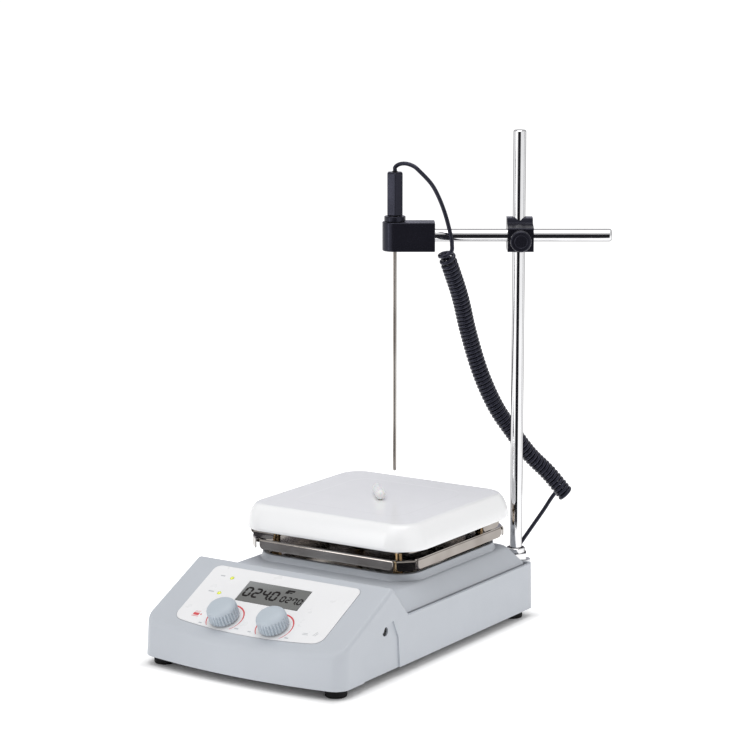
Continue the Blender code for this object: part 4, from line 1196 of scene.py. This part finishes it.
def thin(outline, low=GAP - 0.00008, high=GAP + PRINT):
    return slab(outline, low, high)


def merged(shapes):
    """Several bmeshes in one."""
    whole = bmesh.new()
    for bm in shapes:
        mesh = bpy.data.meshes.new("part")
        bm.to_mesh(mesh)
        bm.free()
        whole.from_mesh(mesh)
        bpy.data.meshes.remove(mesh)
    return whole


def printed(name, outlines, ink_used):
    """Flat outlines in (u, v), printed on the console in one ink."""
    plain(name, merged([thin(outline) for outline in outlines]), CONSOLE, ink_used, "root")


def bar_outline(u, v, width, height, lean=0.0):
    """A small leaning bar, from its centre."""
    a, b = width / 2, height / 2
    shift = lean * b
    return [(u - a - shift, v - b), (u + a - shift, v - b), (u + a + shift, v + b), (u - a + shift, v + b)]


def arc_outline(centre_u, first, last, count=60):
    """A printed arc around a knob, which swells along it."""
    outer, inner = [], []
    for k in range(count + 1):
        share = k / count
        angle = math.radians(first + (last - first) * share)
        half = 0.0002 + 0.0005 * math.sin(math.pi * min(1, share * 1.1)) ** 0.7
        for radius, row in ((ARC_RADIUS + half, outer), (ARC_RADIUS - half, inner)):
            row.append((centre_u + radius * math.cos(angle), KNOB_V + radius * math.sin(angle)))
    return outer + inner[::-1]


def build_prints():
    """Red arcs that swell towards their high end, a red heater mark and faint generic marks."""
    red = [arc_outline(u, 225, -45) for u in KNOB_U]
    red += [bar_outline(*bar) for bar in RED_BARS]
    red += [bar_outline(-0.0519 + 0.0016 * k, -0.0605, 0.0004, 0.0018, 0.5) for k in range(3)]
    printed("red_prints", red, RED_INK)
    faint = [bar_outline(*bar) for bar in GREY_BARS]
    for u in KNOB_U:
        faint.append(bar_outline(u - 0.0172, KNOB_V - 0.0092, 0.0028, 0.0012))
        faint.append(bar_outline(u + 0.0160, KNOB_V - 0.0086, 0.0034, 0.0012))
    printed("grey_prints", faint, GREY_INK)


SEGMENTS = {"0": "abcdef", "2": "abged", "4": "fgbc", "7": "fabc"}


def digit(character, u, v, width, height, stroke, lean=0.05):
    """One seven-segment figure, its lower left corner at (u, v)."""
    half = height / 2
    gap = stroke * 0.03
    ends = {
        "a": ((0, height), (width, height)),
        "g": ((0, half), (width, half)),
        "d": ((0, 0), (width, 0)),
        "f": ((0, half), (0, height)),
        "b": ((width, half), (width, height)),
        "e": ((0, 0), (0, half)),
        "c": ((width, 0), (width, half)),
    }
    outlines = []
    for segment in SEGMENTS[character]:
        first, last = (Vector(point) for point in ends[segment])
        along = (last - first).normalized()
        across = Vector((-along.y, along.x)) * stroke / 2
        first = first + along * gap
        last = last - along * gap
        near = first + along * stroke * 0.42
        far = last - along * stroke * 0.42
        points = [first, near + across, far + across, last, far - across, near - across]
        outlines.append([(u + p.x + lean * p.y, v + p.y) for p in points])
    return outlines


def build_digits():
    """The display's figures: a large reading, a small one and a unit block."""
    left = -LCD_HALF[0] + 0.0030
    small = left + 0.0342
    base_v = LCD_V - 0.0049
    outlines = []
    for k, character in enumerate("0240"):
        outlines += digit(character, left + 0.0081 * k, base_v, 0.0050, 0.0092, 0.0019)
    outlines.append(bar_outline(left + 0.0227, base_v - 0.0001, 0.0015, 0.0015))
    for k, character in enumerate("0270"):
        outlines += digit(character, small + 0.0051 * k, base_v + 0.0002, 0.0030, 0.0057, 0.0013)
    outlines.append(bar_outline(small + 0.0142, base_v, 0.0011, 0.0011))
    for across, up, width, height in UNIT_BARS:
        outlines.append(bar_outline(small + across, base_v + up, width, height, 0.05))
    printed("display_figures", outlines, DIGIT_INK)


# ---------------------------------------------------------------- hotplate

def post_places():
    return [Vector((*(TO_LAYOUT @ middle(f"post_{i}")).xy, 0)) for i in range(4)]


def post_holes(radius, low, high, steps=48):
    return [(rod(radius, low, high, steps), LAYOUT @ Matrix.Translation(place)) for place in post_places()]


def build_hotplate():
    """The glazed plate: one skin over its flared skirt, its soft rim, its dish and its hollow underside."""
    skirt = [
        (0.0812, SKIRT_Z),
        (0.0818, SKIRT_Z + 0.0003),
        (0.0820, SKIRT_Z + 0.0012),
        (0.0819, 0.0880),
        (0.0812, 0.0920),
        (0.0799, 0.0962),
        (0.0781, 0.1000),
        (0.0766, 0.1021),
        (0.0749, 0.1036),
        (0.0728, 0.1044),
        (0.0705, PLATE_TOP),
    ]
    fine = [(p.x, p.y) for p in catmull([(half, z, 0) for half, z in skirt], 4)]
    rings = [(0.0740, 0.0986, 0.0150), (0.0786, 0.0860, 0.0200), (0.0794, SKIRT_Z + 0.0002, 0.0205)]
    rings += [(half, z, PLATE_CORNER - 0.082 + half) for half, z in fine]
    rings += [(0.0600, PLATE_TOP, 0.0150), (DISH_HALF + 0.0012, PLATE_TOP, 0.0150)]
    rings.append((DISH_HALF + 0.0006, PLATE_TOP - DISH_DEPTH / 2, 0.0150))
    rings.append((DISH_HALF, PLATE_TOP - DISH_DEPTH, 0.0150))
    bm = loft([rounded_square(half, half, radius, z, 20) for half, z, radius in rings])
    plain("glazed_plate", bm, PLATE, "ceramic", "root", ("hotplate",), sharp=50)


def flap(first, last, low, top, out, corner, bend=0.0016):
    """A tab that turns down from a sheet's edge: the sheet's last strip, a bend and the drop, its lower
    corners round."""
    stations_across = [first, first + 0.00001]
    stations_across += [first + corner * (1 - math.cos(math.pi / 2 * k / 6)) for k in range(1, 7)]
    right = [first + last - u for u in reversed(stations_across)]
    rows = []
    for u in stations_across + right:
        rise = arc_drop(abs(u - (first + last) / 2), (last - first) / 2, corner)
        outer, inner = [], []
        for side, radius in ((outer, bend), (inner, bend - SHEET)):
            side.append((out - bend - 0.003, top - bend + radius))
            for k in range(7):
                a = math.pi / 2 * (1 - k / 6)
                side.append((out - bend + radius * math.cos(a), top - bend + radius * math.sin(a)))
            side.append((out - bend + radius, low + rise))
        rows.append([(u, -y, z) for y, z in outer + inner[::-1]])
    return loft(rows)


def build_shields():
    low, high = layout_box("lower_shield")
    build_shield("lower_shield", LOWER_TABS, high.z - low.z, 0.0035, LOWER_CORNER)
    build_shield("upper_shield", UPPER_EARS, 0.0058, 0.0038, 0.012)


def build_shield(name, tabs, drop, rounding, corner):
    """A sheet on the posts with tabs turned down from its sides, and from its corners if they are cut."""
    low, high = layout_box(name)
    top = high.z
    out = (high.x - low.x) / 2
    half = out - 0.0004
    sheet = loft([rounded_square(half, half, corner, z, 12) for z in (top - SHEET, top)])
    shapes = [(side, flap(first, last, top - drop, top, out, rounding)) for side, first, last in tabs]
    if name == "lower_shield":
        at_corner = (out - corner) * math.sqrt(2) + corner + 0.0002
        reach = CORNER_TAB_HALF
        for side in range(4):
            shapes.append((side + 0.5, flap(-reach, reach, top - drop, top, at_corner, 0.0022)))
    turned_tabs = [(bm, PLATE @ Matrix.Rotation(side * math.pi / 2, 4, "Z")) for side, bm in shapes]
    holes = [(rod(0.040, 0.070, 0.090, 96), PLATE), *post_holes(0.0034, 0.070, 0.090, 32)]
    mesh = combined((sheet, PLATE), *joins(*turned_tabs), *cuts(*holes))
    piece(f"{name}_sheet", mesh, "stainless", "root", (name,), soften=0.00012, segments=2)


def build_posts():
    for i, place in enumerate(post_places()):
        low, high = layout_box(f"post_{i}")
        flange = 0.0763
        profile = ((0, low.z), (0.0040, low.z), (0.0040, 0.0660), (0.0034, 0.0664), (0.0034, 0.0712))
        profile += ((0.0040, 0.0716), (0.0040, flange), (0.0030, flange), (0.0030, high.z), (0, high.z))
        bm = turned(softened(profile, 0.0003), 40)
        plain(f"brass_post_{i}", bm, LAYOUT @ Matrix.Translation(place), "brass", "root", (f"post_{i}",))


def build_stir_bar():
    """A PTFE capsule with the raised ring that such a bar turns on."""
    low, high = layout_box("stir_bar")
    radius = (high.z - low.z) / 2
    half_length = 0.015
    angles = [math.pi / 2 * k / 12 for k in range(1, 13)]
    side = [(radius * math.sin(a), half_length - radius + radius * math.cos(a)) for a in angles]
    side += [(radius * 0.985, 0.0017), (radius, 0.0009)]
    profile = [(0, -half_length), *[(r, -h) for r, h in side], *side[::-1], (0, half_length)]
    centre = middle("stir_bar")
    corners = [vertex.co for vertex in frame["nodes"]["stir_bar"].data.vertices]
    far = max(corners, key=lambda point: (point - centre).length)
    angle = math.atan2(far.y - centre.y, far.x - centre.x)
    place = Matrix.Translation(centre) @ Matrix.Rotation(angle, 4, "Z") @ Matrix.Rotation(math.pi / 2, 4, "Y")
    plain("ptfe_bar", turned(profile, 40), place, "ptfe", "spinner", ("stir_bar",), sharp=50)


# ---------------------------------------------------------------- rear wall

def wall_box(x, half, depths, heights):
    """A box centred on x, between two depths from the rear face and two heights."""
    near, far = (BODY_DEPTH + depth for depth in depths)
    return box((x - half, near, heights[0]), (x + half, far, heights[1]))


def bezel(x, half, radius, thick):
    """A round-cornered rim on the rear face."""
    rim = rounded_bar((x, FITTINGS_Z), half, [radius] * 4)
    return loft([[(u, BODY_DEPTH + y, z) for u, z in rim] for y in (0.0, thick)])


def rib(radius, base):
    """One rib of a turned grip and the groove in it."""
    groove = radius - 0.0005
    return [(radius, base), (groove, base + 0.0003), (groove, base + 0.0009), (radius, base + 0.0012)]


def build_rear():
    low, high = layout_box("rear_panel")
    inlet_x = (TO_LAYOUT @ middle("iec_inlet")).x
    switch_x = (TO_LAYOUT @ middle("switch_frame")).x
    socket = TO_LAYOUT @ middle("sensor_socket")
    socket_place = turned_to((socket.x, BODY_DEPTH, socket.z), "y")
    panel = (box(tuple(low), tuple(high)), LAYOUT)
    holes = (
        (wall_box(inlet_x, 0.0140, (-0.01, 0.01), (0.0119, 0.0401)), LAYOUT),
        (wall_box(switch_x, 0.0065, (-0.01, 0.01), (0.0165, 0.0355)), LAYOUT),
        (rod(0.0063, -0.01, 0.01), socket_place),
    )
    mesh = combined(panel, *cuts(*holes))
    piece("fittings_panel", mesh, "component", "root", ("rear_panel",), soften=0.0002)
    build_inlet(inlet_x)
    build_switch(switch_x)
    build_plug(socket_place)


def build_inlet(x):
    """A fused mains inlet: a socket with three pins above a drawer for the fuse."""
    body = wall_box(x, 0.0137, (-0.0270, 0.0005), (0.0122, 0.0398))
    flange = bezel(x, (0.0170, 0.0152), 0.002, 0.0022)
    well = [(-0.0110, 0.0070), (-0.0110, -0.0065), (0.0110, -0.0065), (0.0110, 0.0070)]
    well = [(x + u, PINS_Z + v) for u, v in fillet(well, [0.003, 0.001, 0.001, 0.003])]
    mouth = loft([[(u, BODY_DEPTH + y, z) for u, z in well] for y in (-0.0170, 0.0040)])
    bay = wall_box(x, 0.0103, (-0.0230, 0.0040), (0.0136, 0.0194))
    mesh = combined((body, LAYOUT), *joins((flange, LAYOUT)), *cuts((mouth, LAYOUT), (bay, LAYOUT)))
    piece("mains_inlet", mesh, "black_plastic", "root", ("iec_inlet",), soften=0.0003)
    pins = []
    for u, v in ((-0.0070, -0.0015), (0.0, 0.0020), (0.0070, -0.0015)):
        z = PINS_Z + v
        pins.append(wall_box(x + u, 0.0010, (-0.0190, -0.0030), (z - 0.0020, z + 0.0020)))
    plain("inlet_pins", merged(pins), LAYOUT, "steel", "root", soften=0.0005)
    drawer = wall_box(x, 0.0100, (-0.0220, 0.0030), (0.0139, 0.0191))
    bed = wall_box(x, 0.0030, (-0.0210, -0.0010), (0.0155, 0.0200))
    finger = rounded_bar((BODY_DEPTH + 0.0031, 0.0165), (0.0009, 0.0013), [0.0005, 0, 0, 0.0005])
    grip = side_slab(finger, x - 0.0045, x + 0.0045)
    mesh = combined((drawer, LAYOUT), *cuts((bed, LAYOUT), (grip, LAYOUT)))
    piece("fuse_drawer_body", mesh, "black_plastic", "drawer", ("fuse_drawer",), soften=0.0003)


def build_switch(x):
    shell = wall_box(x, 0.0062, (-0.0150, 0.0005), (0.0168, 0.0352))
    rim = bezel(x, (0.0078, 0.0110), 0.0012, 0.0018)
    well = wall_box(x, 0.0052, (-0.0120, 0.0040), (0.0178, 0.0342))
    mesh = combined((shell, LAYOUT), *joins((rim, LAYOUT)), *cuts((well, LAYOUT)))
    piece("switch_bezel", mesh, "black_plastic", "root", ("switch_frame",), soften=0.0003)
    profile = ((-0.0050, -0.0067), (0.0022, -0.0072), (0.0034, 0.0), (0.0006, 0.0072), (-0.0050, 0.0060))
    pivot = LAYOUT @ Matrix.Translation((x, BODY_DEPTH, FITTINGS_Z))
    bm = side_slab(fillet(profile, [0, 0.0006, 0.004, 0.0006, 0], 8), -0.0047, 0.0047)
    plain("rocker_cap", bm, pivot, "component", "rocker", ("power_rocker",), soften=0.0004)


def build_plug(place):
    """The probe's socket in the rear wall and its plug, with a grip and a ribbed strain relief."""
    shell = ((0, -0.0130), (0.0060, -0.0130), (0.0060, 0.0003), (0.0080, 0.0003), (0.0080, 0.0017))
    shell += ((0.0074, 0.0022), (0.0042, 0.0022), (0.0042, -0.0080), (0, -0.0080))
    bm = turned(softened(shell, 0.0003), 56)
    plain("probe_socket", bm, place, "black_plastic", "root", ("sensor_socket",), sharp=50)
    profile = [(0, -0.0077), (0.0038, -0.0077), (0.0038, 0.0025), (0.0050, 0.0025), (0.0052, 0.0035)]
    for k in range(5):
        profile += rib(0.0052, 0.0046 + 0.0019 * k)
    profile += [(0.0052, 0.0145), (0.0046, 0.0158), (0.0030, 0.0165)]
    for k in range(4):
        profile += rib(0.0029 - 0.00018 * k, 0.0172 + 0.0019 * k)
    profile += [(0.0022, 0.0256), (0, 0.0256)]
    bm = turned(softened(profile, 0.00015, 2), 56)
    plain("probe_plug", bm, place, "black_plastic", "root", ("sensor_plug",), sharp=50)


# ---------------------------------------------------------------- stand

def build_bracket():
    low, high = layout_box("rod_bracket")
    axis = LAYOUT @ Matrix.Translation((UPRIGHT_X, UPRIGHT_Y, 0))
    centre, half = (low + high) / 2, (high - low) / 2
    block = slab(rounded_bar(centre.xy, half.xy, [0.0008, 0.0008, 0.006, 0.006], 10), low.z, high.z)
    mesh = combined((block, LAYOUT), *cuts((rod(BORE_RADIUS, 0.0, 0.1, 64), axis)))
    piece("stand_bracket", mesh, "aluminium", "root", ("rod_bracket",), soften=0.0006)
    nut_low, nut_high = layout_box("lock_nut")
    seat = nut_low.z + 0.0050
    hexagon = turned(((0, nut_low.z), (0.0098, nut_low.z), (0.0098, seat), (0, seat)), 6)
    base, brow = nut_low.z, 0.0104
    rounding = ((0, base - 0.001), (0.0089, base - 0.001), (brow, base + 0.0012), (brow, seat - 0.0012))
    round_cut = turned((*rounding, (0.0089, seat + 0.001), (0, seat + 0.001)), 64)
    collar = ((0, seat - 0.0010), (0.0075, seat - 0.0010), (0.0075, nut_high.z - 0.0005))
    collar += ((0.0070, nut_high.z), (0, nut_high.z))
    mesh = combined(
        (hexagon, axis),
        ("INTERSECT", round_cut, axis),
        *joins((turned(collar, 64), axis)),
        *cuts((rod(BORE_RADIUS, 0.0, 0.1, 64), axis)),
    )
    piece("rod_nut", mesh, "chrome", "root", ("lock_nut",), soften=0.0002)


def build_rods():
    low, high = rod_low.z, rod_high.z
    chamfer = 0.0008
    profile = ((0, low), (ROD_RADIUS - chamfer, low), (ROD_RADIUS, low + chamfer))
    profile += ((ROD_RADIUS, high - chamfer), (ROD_RADIUS - chamfer, high), (0, high))
    plain("upright_bar", turned(softened(profile, 0.0003), 72), STAND, "chrome", "upright", ("upright_rod",))
    first, last, end = arm_low.x, arm_high.x, 0.0020
    profile = [(0, first), (ROD_RADIUS - 0.0003, first), (ROD_RADIUS, first + 0.0003)]
    for a in (0.0, 0.4, 0.8, 1.2, 1.5):
        profile.append((ROD_RADIUS - end * (1 - math.cos(a)), last - end + end * math.sin(a)))
    profile.append((0, last))
    plain("arm_bar", turned(profile, 72), ARM, "chrome", "arm", ("cross_rod",))


def build_boss():
    """The clamp's head: a front block for the arm and two shoulders behind it for the upright."""
    low, high = stand_box("boss_head")
    knob_z = middle("boss_knob").z
    profile = [(low.y, low.z), (low.y, high.z - 0.0065), (-0.0060, high.z - 0.0040)]
    profile += [(-0.0045, high.z), (high.y, high.z), (high.y, low.z)]
    outline = fillet(profile, [0.0014, 0.0014, 0.0010, 0.0014, 0.0020, 0.0020], 6)
    front = STAND @ Matrix.Translation((0, 0, knob_z)) @ Matrix.Rotation(math.pi / 2, 4, "X")
    mesh = combined(
        (side_slab(outline, low.x, high.x), STAND),
        *cuts(
            (rod(BORE_RADIUS, 0.28, 0.34, 64), STAND),
            (rod(BORE_RADIUS, -0.03, 0.03, 64), ARM),
            (rod(0.0028, 0.012, 0.030, 32), front),
        ),
    )
    piece("clamp_head", mesh, "black_plastic", "boss", ("boss_head",), soften=0.0009, segments=4)
    knob = [(0, 0.0166), (0.0025, 0.0166), (0.0025, 0.0200), (0.0060, 0.0200), (0.0070, 0.0215)]
    knob += [(0.0085, 0.0225), (0.0085, 0.0305), (0.0076, 0.0318), (0.0052, 0.0320), (0.0048, 0.0316)]
    knob.append((0, 0.0316))
    bm = turned(softened(knob, 0.0006), 96)
    for vertex in bm.verts:
        ridge = 0.02 * (0.5 + 0.5 * math.cos(24 * math.atan2(vertex.co.y, vertex.co.x)))
        if math.hypot(vertex.co.x, vertex.co.y) > 0.0080 and vertex.co.z < 0.0305:
            vertex.co.x *= 1 - ridge
            vertex.co.y *= 1 - ridge
    plain("clamp_wheel", bm, front, "black_plastic", "clamp_knob", ("boss_knob",), sharp=50)


def build_probe():
    low, high = holder_low.z, holder_high.z
    right = holder_high.x
    outline = [(right, -HOLDER_ROUND), (right, HOLDER_ROUND)]
    for k in range(33):
        angle = math.pi / 2 + math.pi * k / 32
        outline.append((PROBE_S + HOLDER_ROUND * math.cos(angle), HOLDER_ROUND * math.sin(angle)))
    shape = slab([(x, y - ARM_OFFSET) for x, y in outline], low, high)
    mesh = combined(
        (shape, STAND),
        *cuts((rod(BORE_RADIUS, arm_low.x - GAP, 0.0, 64), ARM), (rod(0.0019, 0.28, 0.33, 32), PROBE)),
    )
    piece("holder_body", mesh, "black_plastic", "holder", ("probe_holder",), soften=0.0009, segments=4)
    collar = ((0.0018, high + GAP), (0.0081, high + GAP), (0.0085, high + 0.0008), (0.0085, high + 0.0040))
    collar += ((0.0080, high + 0.0045), (0.0018, high + 0.0045))
    bm = turned(collar, 64)
    plain("handle_collar", bm, PROBE, "black_plastic", "probe", ("probe_collar",), soften=0.0003)
    bottom = high + 0.0048
    top = stand_box("probe_handle")[1].z
    side = HANDLE_RADIUS
    handle = [(0, bottom + 0.0100), (0.0018, bottom + 0.0100), (0.0018, bottom), (side - 0.0006, bottom)]
    handle += [(side, bottom + 0.0006), (side, top - 0.0012), (side - 0.0010, top), (0, top)]
    place = PROBE @ Matrix.Rotation(math.pi / 6, 4, "Z")
    plain("handle_grip", turned(handle, 6), place, "black_plastic", "probe", ("probe_handle",), soften=0.0005)
    sleeve = ((0, top - 0.0002), (0.0021, top - 0.0002), (0.0021, top + 0.0008), (0, top + 0.0008))
    plain("lead_sleeve", turned(softened(sleeve, 0.0003), 40), PROBE, "rubber", "probe")
    tip = stand_box("probe_stem")[0].z
    stem = [(0, tip), (0.0008, tip + 0.0002), (0.0015, tip + 0.0012), (0.0015, bottom + 0.0097)]
    stem.append((0, bottom + 0.0097))
    plain("stem_tube", turned(softened(stem, 0.0004), 40), PROBE, "stainless", "probe", ("probe_stem",))


def build_limit_screw():
    low, high = layout_box("safety_limit_screw")
    place = turned_to((0, (low.y + high.y) / 2, (low.z + high.z) / 2), "x")
    profile = ((0, 0.0800), (0.0029, 0.0800), (0.0029, 0.0884), (0.0026, 0.0888), (0, 0.0888))
    slot = box((-0.0005, -0.004, 0.0880), (0.0005, 0.004, 0.0900))
    mesh = combined((turned(softened(profile, 0.0002), 48), place), *cuts((slot, place)))
    piece("limit_adjuster_screw", mesh, "component", "limit_adjuster", ("safety_limit_screw",), soften=0.0001)


def dress_the_rest():
    """The inner pieces keep their own shapes and get their finishes."""
    slots = {row["node"]: row["material_slot"] for row in frame["record"]["subparts"]}
    for name, node in frame["nodes"].items():
        if not node.hide_render:
            for holder in node.material_slots:
                holder.material = LOOKS[slots[name]]


build_camera()
build_stage()
build_lead()
build_housing()
build_cover()
build_base()
build_console()
build_hotplate()
build_shields()
build_posts()
build_stir_bar()
build_rear()
build_bracket()
build_rods()
build_boss()
build_probe()
build_limit_screw()
build_tail()
dress_the_rest()
